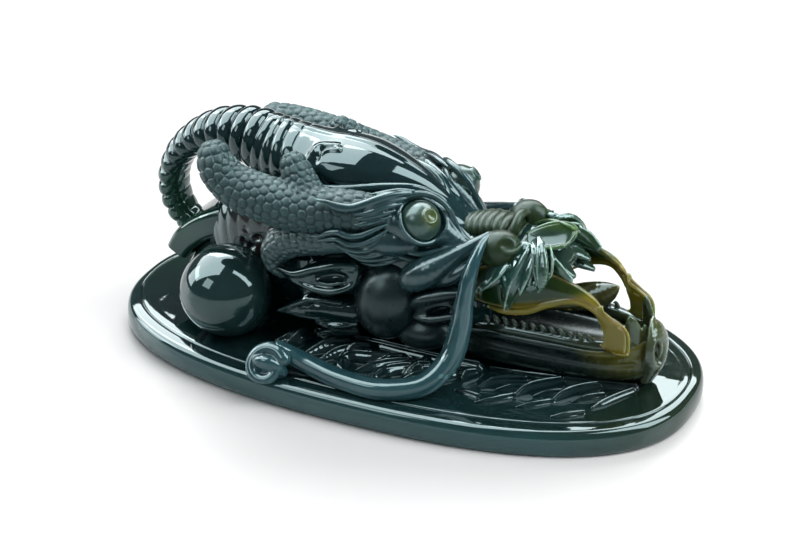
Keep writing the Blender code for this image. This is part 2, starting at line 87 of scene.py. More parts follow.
def normals_of(points, quads):
    crossed = np.cross(points[quads[:, 2]] - points[quads[:, 0]],
                       points[quads[:, 3]] - points[quads[:, 1]])
    total = np.zeros_like(points)
    for k in range(4):
        np.add.at(total, quads[:, k], crossed)
    return total / np.maximum(np.linalg.norm(total, axis=1, keepdims=True), 1e-9)


def turned_in(points, quads):
    """Whether a closed mesh has its faces inside out."""
    a, b, c, d = (points[quads[:, k]] for k in range(4))
    return (np.cross(b, c) * a).sum() + (np.cross(c, d) * a).sum() < 0


def tube(rings, around, middle=(0, 0, 0)):
    """A closed mesh from rings of points, with its first and last ring filled."""
    points = np.concatenate(rings)
    ring = np.arange(around)
    quads = np.concatenate([quads_of_grid(len(rings), around, True), closing(ring[::-1]),
                            closing((len(rings) - 1) * around + ring)])
    return points, quads[:, ::-1] if turned_in(points - middle, quads) else quads


def closing(ring):
    """Quads across a small ring with an even number of points."""
    half = len(ring) // 2
    left, right = ring[:half], ring[half:][::-1]
    return np.array([(left[k], left[k + 1], right[k + 1], right[k]) for k in range(half - 1)])


def new_piece(cad_node, shape, material):
    """A mesh from points in millimetres and its quads, in place of the CAD node of that name."""
    points, quads = shape
    name = f"{cad_node}_carved"
    mesh = bpy.data.meshes.new(name)
    mesh.vertices.add(len(points))
    mesh.vertices.foreach_set("co", (points * MM).astype(np.float32).ravel())
    mesh.loops.add(quads.size)
    mesh.loops.foreach_set("vertex_index", quads.astype(np.int32).ravel())
    mesh.polygons.add(len(quads))
    mesh.polygons.foreach_set("loop_start", np.arange(0, quads.size, 4, dtype=np.int32))
    mesh.update(calc_edges=True)
    mesh.validate()
    mesh.shade_smooth()
    mesh.materials.append(material)
    obj = bpy.data.objects.new(name, mesh)
    bpy.context.scene.collection.objects.link(obj)
    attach(obj, "root")
    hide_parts(cad_node)


def mirrored(shape):
    points, quads = shape
    return points * [1, -1, 1], quads[:, ::-1]


def pair(name, shape, material, left_shift=(0, 0, 0)):
    """The right piece and its mirror image on the left, which may sit a little elsewhere."""
    new_piece(f"right_{name}", shape, material)
    points, quads = mirrored(shape)
    new_piece(f"left_{name}", (points + np.array(left_shift), quads), material)


def together(*shapes):
    """Several closed meshes in one."""
    starts = np.cumsum([0] + [len(points) for points, _ in shapes])
    return (np.concatenate([points for points, _ in shapes]),
            np.concatenate([quads + start for (_, quads), start in zip(shapes, starts)]))


# ---- swept forms: fine rings along a path, for the polished elements ---------------------
def sweep(stations, facing=(0, 0, 1), steps=12, around=64, square=2.0, relief=None, dome=0.8):
    """Rings of (x, y, z, half_width, half_depth) along a smooth path, with domed ends.

    Depth lies along facing at the start and is carried along the path without twist.
    relief(share, angle, half_width) gives how far each point is pushed outwards.
    """
    s = smooth(stations, steps)
    if s.shape[1] == 4:
        s = np.column_stack([s, s[:, 3]])
    centre, wide, deep = s[:, :3], np.maximum(s[:, 3], 0.02), np.maximum(s[:, 4], 0.02)
    along = np.gradient(centre, axis=0)
    along /= np.linalg.norm(along, axis=1, keepdims=True)
    length = np.concatenate([[0], np.cumsum(np.linalg.norm(np.diff(centre, axis=0), axis=1))])
    depth = [unit(np.array(facing) - along[0] * np.dot(facing, along[0]))]
    for e in along[1:]:
        depth.append(unit(depth[-1] - e * np.dot(depth[-1], e)))
    depth = np.array(depth)
    width = np.cross(along, depth)
    angle = np.arange(around) * 2 * math.pi / around
    power = 2 / square
    c = np.sign(np.cos(angle)) * np.abs(np.cos(angle)) ** power
    d = np.sign(np.sin(angle)) * np.abs(np.sin(angle)) ** power
    rows = []
    for i in range(len(s)):
        push = 0.0 if relief is None else relief(length[i] / length[-1], angle, wide[i])
        rows.append(centre[i] + width[i] * ((wide[i] + push) * c)[:, None]
                    + depth[i] * ((deep[i] + push) * d)[:, None])

    def cap(i, sign):
        middle, reach = centre[i], dome * min(wide[i], deep[i])
        out = []
        for t in (0.25, 0.5, 0.72, 0.88, 0.97, 1.0):
            shrink = max(math.cos(t * math.pi / 2), 0.004)
            out.append(middle + (rows[i] - middle) * shrink
                       + sign * along[i] * reach * math.sin(t * math.pi / 2))
        return out

    return tube([*cap(0, -1)[::-1], *rows, *cap(-1, 1)], around)


# ---- clay: signed distance on a grid, for the forms that flow into each other -------------
class Clay:
    def __init__(self, low, high, step=None):
        self.step = step or FINE
        self.low = np.array(low, float)
        count = np.ceil((np.array(high) - self.low) / self.step).astype(int) + 1
        self.axes = [(self.low[i] + self.step * np.arange(count[i])).astype(np.float32)
                     for i in range(3)]
        self.d = np.full(count, FAR, np.float32)

    def part(self, low, high):
        """The block of the grid between two corners, and its coordinates."""
        block = tuple(slice(*np.searchsorted(a, ends))
                      for a, ends in zip(self.axes, zip(low, high)))
        x, y, z = (a[c] for a, c in zip(self.axes, block))
        return block, x[:, None, None], y[None, :, None], z[None, None, :]

    def add(self, form, soft=0.3, sign=1):
        """Joins a form on, blended over the length soft."""
        block, x, y, z = self.part(*form[:2])
        a, b = sign * self.d[block], form[2](x, y, z)
        h = np.maximum(soft - np.abs(a - b), 0)
        self.d[block] = sign * (np.minimum(a, b) - h * h / (4 * soft))
        return self

    def cut(self, form, soft=0.2):
        """Takes a form away."""
        return self.add(form, soft, -1)

    def floor(self, height=STONE - 0.25):
        """Cuts off what reaches too far below the slab's top."""
        z = self.axes[2][None, None, :]
        self.d = np.maximum(self.d, np.float32(height) - z)
        return self

    def shape(self, detail=None):
        for side in range(3):  # closes the surface at the block's sides
            for end in (0, -1):
                index = [slice(None)] * 3
                index[side] = end
                self.d[tuple(index)] = FAR
        grid = openvdb.FloatGrid(background=FAR)
        grid.copyFromArray(np.clip(self.d, -FAR, FAR))
        points, triangles, quads = grid.convertToPolygons(isovalue=0.0, adaptivity=0.0)
        points = np.array(points, float) * self.step + self.low
        quads = np.array(quads, np.int64)
        if turned_in(points, quads):
            quads = quads[:, ::-1]
        if detail:
            points = points + detail(points, normals_of(points, quads))
        return points, quads


def oval(centre, radii, tilt=(0, 0, 0)):
    """An ellipsoid, tilted by angles in degrees about X, then Y, then Z."""
    a, b, c = (math.radians(t) for t in tilt)
    rx = np.array([[1, 0, 0], [0, math.cos(a), -math.sin(a)], [0, math.sin(a), math.cos(a)]])
    ry = np.array([[math.cos(b), 0, math.sin(b)], [0, 1, 0], [-math.sin(b), 0, math.cos(b)]])
    rz = np.array([[math.cos(c), -math.sin(c), 0], [math.sin(c), math.cos(c), 0], [0, 0, 1]])
    m = (rz @ ry @ rx).T
    reach = max(radii) + OVAL_REACH
    centre = np.array(centre, float)

    def distance(x, y, z):
        p = (x - centre[0], y - centre[1], z - centre[2])
        q = [m[i, 0] * p[0] + m[i, 1] * p[1] + m[i, 2] * p[2] for i in range(3)]
        near = np.sqrt(sum((v / r) ** 2 for v, r in zip(q, radii)))
        slope = np.sqrt(sum((v / r**2) ** 2 for v, r in zip(q, radii)))
        return (near * (near - 1) / np.maximum(slope, 1e-3)).astype(np.float32)

    return centre - reach, centre + reach, distance


def strand(stations, facing=None, steps=4, square=2.0):
    """A tapering rod of (x, y, z, radius), or with facing a ribbon of
    (x, y, z, half_width, half_depth) whose depth lies along facing."""
    s = smooth(stations, steps)
    if s.shape[1] == 4:
        s = np.column_stack([s, s[:, 3]])
    s[:, 3:] = np.maximum(s[:, 3:], 0.05)
    reach = s[:, 3:].max(1) + ROD_REACH
    low, high = (s[:, :3] - reach[:, None]).min(0), (s[:, :3] + reach[:, None]).max(0)

    def distance(x, y, z):
        flat = [v.ravel() for v in (x, y, z)]
        out = np.full([len(v) for v in flat], FAR, np.float32)
        for a, b, ra, rb in zip(s, s[1:], reach, reach[1:]):
            r = max(ra, rb)
            l, h = np.minimum(a[:3], b[:3]) - r, np.maximum(a[:3], b[:3]) + r
            cut = tuple(slice(*np.searchsorted(v, (l[i], h[i]))) for i, v in enumerate(flat))
            px, py, pz = (v[c] - a[i] for i, (v, c) in enumerate(zip(flat, cut)))
            px, py, pz = px[:, None, None], py[None, :, None], pz[None, None, :]
            e = b[:3] - a[:3]
            size = np.linalg.norm(e)
            if size < 1e-6:
                continue
            e = e / size
            run = px * e[0] + py * e[1] + pz * e[2]
            t = np.clip(run / size, 0, 1).astype(np.float32)
            if facing is None:
                away = np.sqrt((px - t * size * e[0]) ** 2 + (py - t * size * e[1]) ** 2
                               + (pz - t * size * e[2]) ** 2)
                value = away - (a[3] + t * (b[3] - a[3]))
            else:
                deep = unit(np.array(facing) - e * np.dot(facing, e))
                wide = np.cross(e, deep)
                u = px * wide[0] + py * wide[1] + pz * wide[2]
                v = px * deep[0] + py * deep[1] + pz * deep[2]
                over = run - t * size
                p, q = a[3] + t * (b[3] - a[3]), a[4] + t * (b[4] - a[4])
                m = np.minimum(p, q)
                near = ((np.abs(u) / p) ** square + (np.abs(v) / q) ** square
                        + (np.abs(over) / m) ** square) ** (1 / square)
                slope = np.sqrt((u / p**2) ** 2 + (v / q**2) ** 2 + (over / m**2) ** 2)
                far = np.sqrt((u / p) ** 2 + (v / q) ** 2 + (over / m) ** 2)
                value = (near - 1) * far / np.maximum(slope, 1e-3)
            out[cut] = np.minimum(out[cut], value)
        return out

    return low, high, distance


# ---- the stone -----------------------------------------------------------------------
def node(tree, kind, inputs=(), **settings):
    made = tree.nodes.new(kind)
    for key, value in settings.items():
        setattr(made, key, value)
    for key, value in dict(inputs).items():
        if isinstance(value, bpy.types.NodeSocket):
            tree.links.new(value, made.inputs[key])
        else:
            made.inputs[key].default_value = value
    return made


def ramp(tree, source, stops):
    made = node(tree, "ShaderNodeValToRGB", {"Fac": source})
    elements = made.color_ramp.elements
    while len(elements) < len(stops):
        elements.new(0.5)
    for element, (place, colour) in zip(elements, stops):
        element.position = place
        element.color = (*colour, 1)
    return made.outputs["Color"]


def mix(tree, share, first, second):
    made = node(tree, "ShaderNodeMix", data_type="RGBA")
    for socket, value in ((made.inputs[0], share), (made.inputs[6], first), (made.inputs[7], second)):
        if isinstance(value, bpy.types.NodeSocket):
            tree.links.new(value, socket)
        else:
            socket.default_value = value if isinstance(value, float) else (*value, 1)
    return made.outputs[2]


def jade(name, dark, light, roughness, glow, grain, zones=(), depth=1.2, edge=None,
         shine=0.5):
    """Jadeite: clouds of two tones and a soft glow under the surface.

    A zone (direction, start, end, colour) tints the stone towards a colour along a direction,
    and a zone (centre, far, near, colour) with far above near tints it round a point.
    Some zones are the stone's own tones; others are painted shade, painted glow or painted fill light.
    edge is a paler colour painted on sharp edges: a painted glow, as of light passing through
    thin stone, and on some stones a painted highlight.
    """
    dark, light = (tuple(v * TONE for v in colour) for colour in (dark, light))
    material = bpy.data.materials.new(name)
    material.use_nodes = True
    tree = material.node_tree
    shader = tree.nodes["Principled BSDF"]
    where = node(tree, "ShaderNodeTexCoord").outputs["Object"]
    clouds = node(tree, "ShaderNodeTexNoise",
                  {"Vector": where, "Scale": 130.0, "Detail": 5.0, "Roughness": 0.55,
                   "Distortion": 0.6}).outputs["Fac"]
    base = ramp(tree, clouds, [(0.3, dark), (0.72, light)])
    veins = node(tree, "ShaderNodeTexNoise",
                 {"Vector": where, "Scale": 420.0, "Detail": 6.0, "Distortion": 1.5})
    fine = ramp(tree, veins.outputs["Fac"], [(0.45, (0, 0, 0)), (0.8, (0.5, 0.5, 0.5))])
    base = mix(tree, fine, base, tuple(0.6 * d + 0.7 * l for d, l in zip(dark, light)))
    for place, first, last, colour in zones:
        round_point = first > last
        measure = node(tree, "ShaderNodeVectorMath", {0: where},
                       operation="DISTANCE" if round_point else "DOT_PRODUCT")
        measure.inputs[1].default_value = [v * MM if round_point else v for v in place]
        reach = abs(last - first) * MM * 0.9
        uneven = node(tree, "ShaderNodeMath", {0: clouds, 1: reach, 2: measure.outputs["Value"]},
                      operation="MULTIPLY_ADD")
        share = node(tree, "ShaderNodeMapRange",
                     {"Value": uneven.outputs[0], "From Min": first * MM + reach / 2,
                      "From Max": last * MM + reach / 2}, interpolation_type="SMOOTHSTEP")
        base = mix(tree, share.outputs[0], base, tuple(v * TONE for v in colour))
    # painted glow: sharp edges (high pointiness) are paled towards the edge colour
    if edge:
        sharp = node(tree, "ShaderNodeMapRange",
                     {"Value": node(tree, "ShaderNodeNewGeometry").outputs["Pointiness"],
                      "From Min": 0.505, "From Max": 0.58}, interpolation_type="SMOOTHSTEP")
        base = mix(tree, sharp.outputs[0], base, tuple(v * TONE for v in edge))
    tree.links.new(base, shader.inputs["Base Color"])
    wear = node(tree, "ShaderNodeTexNoise", {"Vector": where, "Scale": 900.0, "Detail": 4.0})
    rough = node(tree, "ShaderNodeMapRange",
                 {"Value": wear.outputs["Fac"], "From Min": 0.3, "From Max": 0.75,
                  "To Min": roughness * 0.85, "To Max": roughness * 1.25})
    tree.links.new(rough.outputs[0], shader.inputs["Roughness"])
    bumps = node(tree, "ShaderNodeTexNoise", {"Vector": where, "Scale": grain[0], "Detail": 3.0})
    bump = node(tree, "ShaderNodeBump",
                {"Height": bumps.outputs["Fac"], "Strength": grain[1], "Distance": grain[2]})
    tree.links.new(bump.outputs[0], shader.inputs["Normal"])
    shader.inputs["IOR"].default_value = 1.66  # jadeite
    shader.inputs["Specular IOR Level"].default_value = shine
    shader.inputs["Specular Tint"].default_value = (0.72, 0.97, 1.0, 1.0)
    shader.inputs["Subsurface Weight"].default_value = glow
    shader.inputs["Subsurface Radius"].default_value = (0.4, 1.0, 0.9)
    shader.inputs["Subsurface Scale"].default_value = depth * MM
    return material


POLISHED = jade("polished_jade", (0.003, 0.014, 0.016), (0.009, 0.028, 0.031),
                0.045, 0.3, (500.0, 0.06, 0.0002),
                # painted glow: the hook's lower end is paled to green round a point, for light through
                # the stone
                [((-28, 0, 13), 9, 3, (0.014, 0.055, 0.032)),
                 # painted fill light: the pearl is made lighter round its middle
                 ((-18.2, -9.0, 8.2), 9, 5, (0.012, 0.034, 0.034)),
                 ((1, 0, 0), 20, 32, (0.010, 0.016, 0.010))])
SKULL = jade("skull_jade", (0.003, 0.014, 0.016), (0.009, 0.028, 0.031),
             0.06, 0.3, (500.0, 0.06, 0.0002),
             [((-16.5, -6.0, 13.5), 5.5, 2.5, (0.034, 0.027, 0.025)),
              ((0, 0, 1), 17, 19, (0.007, 0.028, 0.032))], edge=(0.03, 0.08, 0.085))
SATIN = jade("satin_jade", (0.003, 0.010, 0.012), (0.008, 0.021, 0.024),
             0.3, 0.3, (2500.0, 0.12, 0.0001), shine=0.32)
FROSTED = jade("frosted_jade", (0.007, 0.031, 0.034), (0.02, 0.06, 0.064),
               0.5, 0.5, (3500.0, 0.16, 0.0001),
               # painted shade: the horns darken towards their root by the brow and towards their low side
               [((1, 0, 0), -9, 0, (0.010, 0.032, 0.036)),
                ((0, 0, -1), -19.5, -16.5, (0.009, 0.026, 0.03))], shine=0.38)
SHADED = jade("shaded_jade", (0.011, 0.033, 0.037), (0.024, 0.058, 0.064),
              0.36, 0.4, (3000.0, 0.14, 0.0001))
TEMPLE = jade("temple_jade", (0.010, 0.034, 0.040), (0.022, 0.06, 0.068),
              0.2, 0.4, (1800.0, 0.1, 0.0001), edge=(0.05, 0.11, 0.12))
SLAB = jade("slab_jade", (0.004, 0.017, 0.019), (0.011, 0.032, 0.034),
            0.035, 0.4, (160.0, 0.05, 0.0003),
            # painted glow: the wall below the slab's top is paler teal, as if lit through the stone
            [((0, 0, -1), -3.1, -2.3, (0.017, 0.062, 0.066)),
             # painted glow: green round the slab's left end, for light passing through the stone
             ((-34, 6, 2), 15, 2, (0.010, 0.036, 0.025)),
             ((1, 0, 0), 21, 34, (0.014, 0.028, 0.015))])
TEAL = jade("teal_jade", (0.015, 0.06, 0.075), (0.034, 0.094, 0.108),
            0.055, 0.5, (500.0, 0.05, 0.0002), edge=(0.07, 0.17, 0.18))
MUZZLE = jade("muzzle_jade", (0.010, 0.036, 0.034), (0.022, 0.06, 0.05),
              0.09, 0.5, (700.0, 0.08, 0.0002), [((1, 0, 0), 15, 24, (0.026, 0.052, 0.016))],
              edge=(0.08, 0.16, 0.12))
FRILL = jade("frill_jade", (0.012, 0.056, 0.05), (0.03, 0.095, 0.074),
             0.05, 0.6, (700.0, 0.06, 0.0002),
             [((1, 0, 0), 15, 20, (0.03, 0.075, 0.028)), ((0, 0, -1), -15.5, -13.0, (0.02, 0.05, 0.02))],
             # painted highlight and glow: a very pale colour on the frills' sharp ridges
             edge=(0.3, 0.44, 0.38), shine=0.75)
SHELL = jade("shell_jade", (0.022, 0.06, 0.04), (0.045, 0.095, 0.06),
             # painted glow: the leaf's thin top is paled to yellow-green, for light passing through it
             0.14, 0.6, (700.0, 0.06, 0.0002), [((0, 0, 1), 19.2, 20.2, (0.05, 0.12, 0.022))],
             edge=(0.15, 0.28, 0.07), shine=0.4)
NOSE = jade("nose_jade", (0.006, 0.026, 0.017), (0.016, 0.044, 0.022),
            0.34, 0.5, (1500.0, 0.08, 0.0001), [((1, 0, 0), 4, 12, (0.02, 0.04, 0.012))],
            edge=(0.05, 0.1, 0.05), shine=0.22)
JAW = jade("jaw_jade", (0.002, 0.008, 0.007), (0.005, 0.014, 0.011),
           0.24, 0.3, (900.0, 0.08, 0.0002),
           # the olive towards the front is the stone's own tone; the bright yellow round the point is a
           # painted glow of light through the jaw
           [((1, 0, 0), 21, 30, (0.028, 0.04, 0.016)), ((26.0, -3.0, 9.6), 5.5, 2.0, (0.1, 0.1, 0.012))],
           shine=0.3)
CHIN = jade("chin_jade", (0.03, 0.044, 0.022), (0.065, 0.08, 0.042),
            0.2, 0.5, (900.0, 0.08, 0.0002), [((0, 0, 1), 8.5, 11.5, (0.07, 0.09, 0.02))],
            edge=(0.2, 0.21, 0.12))
AMBER = jade("amber_jade", (0.005, 0.022, 0.004), (0.014, 0.042, 0.006),
             0.08, 0.6, (700.0, 0.08, 0.0002),
             [((1, 0, 0), 15, 27, (0.055, 0.075, 0.008)),
              ((0.36, 0, -1), -7.5, -6.3, (0.2, 0.16, 0.01))], 2.0, edge=(0.4, 0.36, 0.12), shine=0.3)
TONGUE = jade("tongue_jade", (0.016, 0.022, 0.005), (0.045, 0.044, 0.01),
              0.16, 0.5, (700.0, 0.08, 0.0002), edge=(0.2, 0.17, 0.04), shine=0.3)
TOOTH = jade("tooth_jade", (0.008, 0.018, 0.012), (0.02, 0.034, 0.018),
             0.1, 0.5, (900.0, 0.08, 0.0001), [((1, 0, 0), 19, 28, (0.05, 0.065, 0.022))],
             edge=(0.1, 0.13, 0.08))
EYE = jade("eye_jade", (0.022, 0.06, 0.05), (0.045, 0.09, 0.07),
           0.22, 0.5, (1500.0, 0.06, 0.0001), [((5.9, -6.3, 21.4), 2.0, 0.7, (0.09, 0.12, 0.03))])


# ---- the slab -------------------------------------------------------------------------
def make_slab():
    """The superelliptic slab: its wall, its rim with the engraved line, and its flat top."""
    count, half_length, half_width, power = 480, 34.0, 17.5, 2 / 2.45
    turn = np.arange(count) * 2 * math.pi / count
    outline = np.column_stack([
        half_length * np.sign(np.cos(turn)) * np.abs(np.cos(turn)) ** power,
        half_width * np.sign(np.sin(turn)) * np.abs(np.sin(turn)) ** power,
    ])
    gaps = np.linalg.norm(np.diff(np.vstack([outline, outline[:1]]), axis=0), axis=1)
    place = np.concatenate([[0], np.cumsum(gaps)])
    even = np.arange(count) * place[-1] / count  # equal steps along the edge
    outline = np.column_stack([np.interp(even, place, np.append(outline[:, k], outline[0, k]))
                               for k in range(2)])
    tangent = np.roll(outline, -1, 0) - np.roll(outline, 1, 0)
    tangent /= np.linalg.norm(tangent, axis=1, keepdims=True)
    inward = np.column_stack([-tangent[:, 1], tangent[:, 0]])

    # the wall, then the rim strip, the engraved line, and the start of the flat
    wall = [(0.5, 0.0), (0.22, 0.16), (0.07, 0.5), (0.0, 1.05), (0.0, 1.6), (0.05, 2.1),
            (0.15, 2.5), (0.3, 2.76), (0.48, 2.92)]
    strip = [(0.75, 3.0), (1.0, 3.04), (1.3, 3.08), (1.6, 3.11), (1.85, 3.125), (1.93, 3.1),
             (1.99, 2.98), (2.04, 2.94), (2.09, 2.98), (2.15, 3.1), (2.25, 3.15), (2.6, 3.18),
             (3.2, STONE)]
    width = 0.5 + 0.5 * np.abs(inward[:, 1:2])  # the strip narrows towards the two ends
    rings = [np.column_stack([outline + inward * inset, np.full(count, height)])
             for inset, height in wall]
    rings += [np.column_stack([outline + inward * (0.48 + (inset - 0.48) * width),
                               np.full(count, height)]) for inset, height in strip]
    inner = rings[-1][:, :2]
    spine = np.column_stack([np.clip(inner[:, 0], -17, 17), np.zeros(count)])
    almost = 0.999  # the last ring stays just off the spine
    for share in np.linspace(0, 1, 60)[1:]:
        flat = inner + (spine - inner) * share * almost
        x, y = flat[:, 0], flat[:, 1]
        wave = (0.0025 * np.sin(x * 0.9 + 0.8 * np.sin(y * 1.3))
                + 0.0025 * np.sin(y * 1.5 + x * 0.6) + 0.001 * np.sin(3.1 * x + 2 * np.sin(2 * y)))
        # the flat is cushioned: it falls gently to the engraved line, most widely in front
        reach = np.linalg.norm(spine - inner, axis=1) * share
        fall = (0.9 + 3.4 * np.clip((x - 16) / 9, 0, 1) + 0.3 * np.sin(2.1 * x)
                + 0.25 * np.sin(3.7 * x + 1))
        rise = 0.03 * fall * np.interp(reach / fall, [0, 1, 2.5], [0, 1, 0]) * (y < 2)
        rings.append(np.column_stack([flat, STONE - 0.012 + rise + wave * min(1, share * 8)]))
    bottom = [np.column_stack([inner + (spine - inner) * s * almost, np.zeros(count)])
              for s in (1.0, 0.5)]
    new_piece("base_slab", tube(bottom + rings, count), SLAB)


make_slab()


# ---- crown and hanging hook ----------------------------------------------------------------
def near_line(points, stations, steps=8):
    """For each point, its distance from the curve through the stations."""
    line = smooth(stations, steps)
    best = np.full(len(points), FAR)
    for a, b in zip(line, line[1:]):
        e = b - a
        t = np.clip((points - a) @ e / max(e @ e, 1e-9), 0, 1)
        best = np.minimum(best, np.linalg.norm(points - a - t[:, None] * e, axis=1))
    return best


def carved(shape, lines):
    """Raises a ridge (height above 0) or sinks a groove along each (stations, height, width)."""
    points, quads = shape
    normals = normals_of(points, quads)
    push = np.zeros(len(points))
    for stations, height, width in lines:
        push += height * np.exp(-(near_line(points, stations) / width) ** 2)
    return points + normals * push[:, None], quads


def crown_relief(share, angle, half_width):
    """A crease along the crest, and the hook's ribs running out over the crown's end."""
    crest = 0.2 * np.exp(-((angle - math.pi / 2) / 0.1) ** 2) * blend(0.05, 0.3, share)
    place = (share * 17.0) % 1.0
    pillow = math.sqrt(max(1 - (2 * place - 1) ** 2, 0)) - 0.72
    ribs = 0.3 * blend(0.66, 0.9, share) * pillow
    return crest + ribs * np.ones_like(angle)


def hook_relief(share, angle, half_width):
    """Pillowed ribs with sharp grooves between them, fading towards the tip and inside the curl."""
    place = (share * 17.5 + 0.05 * np.sin(2 * angle)) % 1.0
    pillow = np.sqrt(np.maximum(1 - (2 * place - 1) ** 2, 0)) - 0.72
    outside = 0.3 + 0.7 * blend(-0.7, 0.3, np.sin(angle))
    return 0.5 * pillow * outside * min(1.0, half_width / 2.0) * blend(0.98, 0.78, share)


crown = [
    (5.0, 0, 19.9, 0.5, 0.4),
    (3.6, 0, 20.6, 1.2, 0.9),
    (1.6, 0, 21.3, 2.2, 1.6),
    (-1.5, 0, 22.0, 3.4, 2.3),
    (-4.5, 0, 22.3, 4.3, 2.9),
    (-7.2, 0, 22.2, 4.7, 3.2),
    (-9.4, 0, 22.2, 4.6, 3.1),
    (-12.5, 0, 22.2, 4.1, 3.3),
    (-15.5, 0, 22.2, 3.8, 3.7),
    (-18.0, 0, 22.5, 3.3, 3.6),
]
swirl = [
    ([(-8.9, -3.7, 23.2), (-9.6, -3.3, 24.0), (-9.9, -2.8, 24.8), (-9.2, -2.2, 25.3),
      (-7.6, -2.1, 25.3)], 0.42, 0.36),
    ([(-8.9, -3.7, 23.2), (-9.0, -3.2, 24.3), (-8.3, -2.8, 24.8), (-7.2, -2.6, 24.9)], 0.3, 0.24),
    ([(-9.3, -3.3, 24.2), (-8.9, -2.8, 24.9), (-8.0, -2.4, 25.2)], -0.4, 0.26),
    ([(-9.3, -3.6, 24.0), (-9.2, -4.0, 23.0), (-8.2, -4.4, 22.0), (-6.6, -4.3, 21.4)], -0.4, 0.35),
    ([(-10.1, -3.4, 24.2), (-10.2, -4.0, 23.0), (-9.4, -4.4, 21.8), (-8.0, -4.5, 20.9)], 0.3, 0.4),
]
swirl += [([(x, -y, z) for x, y, z in line], height, width) for line, height, width in swirl]
dome = sweep(crown, steps=18, around=176, relief=crown_relief)
new_piece("crown", carved(dome, swirl), POLISHED)
hook = [
    (-14.6, 0, 22.1, 3.0, 3.1),
    (-17.5, 0, 22.8, 3.35, 3.5),
    (-19.8, 0, 23.2, 3.15, 3.2),
    (-22.7, 0, 23.2, 2.95, 2.5),
    (-25.7, 0, 22.0, 2.8, 1.95),
    (-28.1, 0, 19.8, 2.65, 1.65),
    (-29.4, 0, 16.9, 2.55, 1.5),
    (-29.4, 0, 14.1, 2.4, 1.4),
    (-28.3, 0, 11.8, 2.2, 1.4),
    (-26.6, 0, 10.6, 2.0, 1.4),
    (-24.6, 0, 10.4, 1.8, 1.2),
]
new_piece("hanging_hook", sweep(hook, steps=60, around=72, relief=hook_relief), POLISHED)
scroll = [
    (-27.9, 0, 8.1, 3.5, 1.5),
    (-26.9, 0, 9.7, 3.6, 1.6),
    (-25.2, 0, 11.3, 3.6, 1.65),
    (-23.0, 0, 12.6, 3.5, 1.7),
    (-20.4, 0, 13.6, 3.0, 1.7),
    (-18.4, 0, 14.0, 2.6, 1.6),
]
foot = [
    (-27.2, 0, 3.0, 2.6, 1.3),
    (-26.0, 0, 5.4, 2.8, 1.5),
    (-23.8, 0, 8.4, 2.9, 1.7),
    (-21.0, 0, 10.6, 2.8, 1.8),
]
new_piece("tail_scroll",
          together(sweep(scroll, facing=(-1, 0, 1), square=5.0, dome=0.35, around=96),
                   sweep(foot, facing=(-1, 0, 1), square=3.0, dome=0.5)), POLISHED)


# ---- pearl -----------------------------------------------------------------------------
def make_pearl():
    """The ball, hand-polished and so not quite round."""
    radius, centre = 5.24, np.array([-18.2, -9.0, STONE + 5.0])
    levels, around, pole = 97, 192, 0.004
    lat = np.linspace(pole, math.pi - pole, levels)
    lon = np.arange(around) * 2 * math.pi / around
    a, b = np.meshgrid(lat, lon, indexing="ij")
    n = np.stack([np.sin(a) * np.cos(b), np.sin(a) * np.sin(b), np.cos(a)], -1).reshape(-1, 3)
    wobble = 0.05 * np.sin(2.1 * n[:, 0] + 3 * n[:, 1]) + 0.04 * np.sin(4 * n[:, 2] - 2 * n[:, 0])
    points = centre + n * (radius + wobble)[:, None]
    new_piece("pearl", tube(points.reshape(levels, around, 3), around, centre), POLISHED)


make_pearl()


# ---- scaled horns and lobes ------------------------------------------------------------------
def scale_seeds(stations, size=1.12):
    """Places of the scales on a tapering rod: rings of them, each ring turned half a step."""
    s = smooth(stations, 12)
    length = np.concatenate([[0], np.cumsum(np.linalg.norm(np.diff(s[:, :3], axis=0), axis=1))])
    along = np.gradient(s[:, :3], axis=0)
    seeds, odd = [], 0.0
    for place in np.arange(0.2, length[-1] - 0.2, size * 0.84):
        x, y, z, r = (np.interp(place, length, s[:, k]) for k in range(4))
        e = unit([np.interp(place, length, along[:, k]) for k in range(3)])
        side = unit(np.cross(e, (0, 0, 1)))
        up = np.cross(side, e)
        count = max(int(round(2 * math.pi * r / size)), 4)
        for k in range(count):
            a = 2 * math.pi * (k + odd) / count
            seeds.append(np.array([x, y, z]) + r * (math.cos(a) * side + math.sin(a) * up))
        odd = 0.5 - odd
    for rise in (28, 62):  # rings round the domed end
        lean = math.radians(rise)
        count = max(int(round(2 * math.pi * r * math.cos(lean) / size)), 3)
        for k in range(count):
            a = 2 * math.pi * (k + odd) / count
            seeds.append(s[-1, :3] + r * math.sin(lean) * e
                         + r * math.cos(lean) * (math.cos(a) * side + math.sin(a) * up))
        odd = 0.5 - odd
    return seeds


def scales(seeds, depth=0.2, size=1.12, smooth_from=None):
    """A detail that swells a round scale at every seed, with a groove where scales meet."""
    tree = KDTree(len(seeds))
    for i, seed in enumerate(seeds):
        tree.insert(Vector(seed), i)
    tree.balance()

    def detail(points, normals):
        near = np.empty((len(points), 2))
        for i, point in enumerate(points):
            found = tree.find_n(Vector(point), 2)
            near[i] = found[0][2], found[1][2]
        groove = blend(0.0, 0.26 * size, near[:, 1] - near[:, 0])
        bead = np.clip(1 - (near[:, 0] / (0.75 * size)) ** 2, 0, 1)
        height = depth * (0.7 * groove + 0.5 * bead * groove) - 0.6 * depth
        on = (near[:, 0] < 1.3 * size).astype(float)
        if smooth_from:
            on = on * (1 - blend(smooth_from[0], smooth_from[1], points[:, 0]))
        return normals * (height * on)[:, None]

    return detail


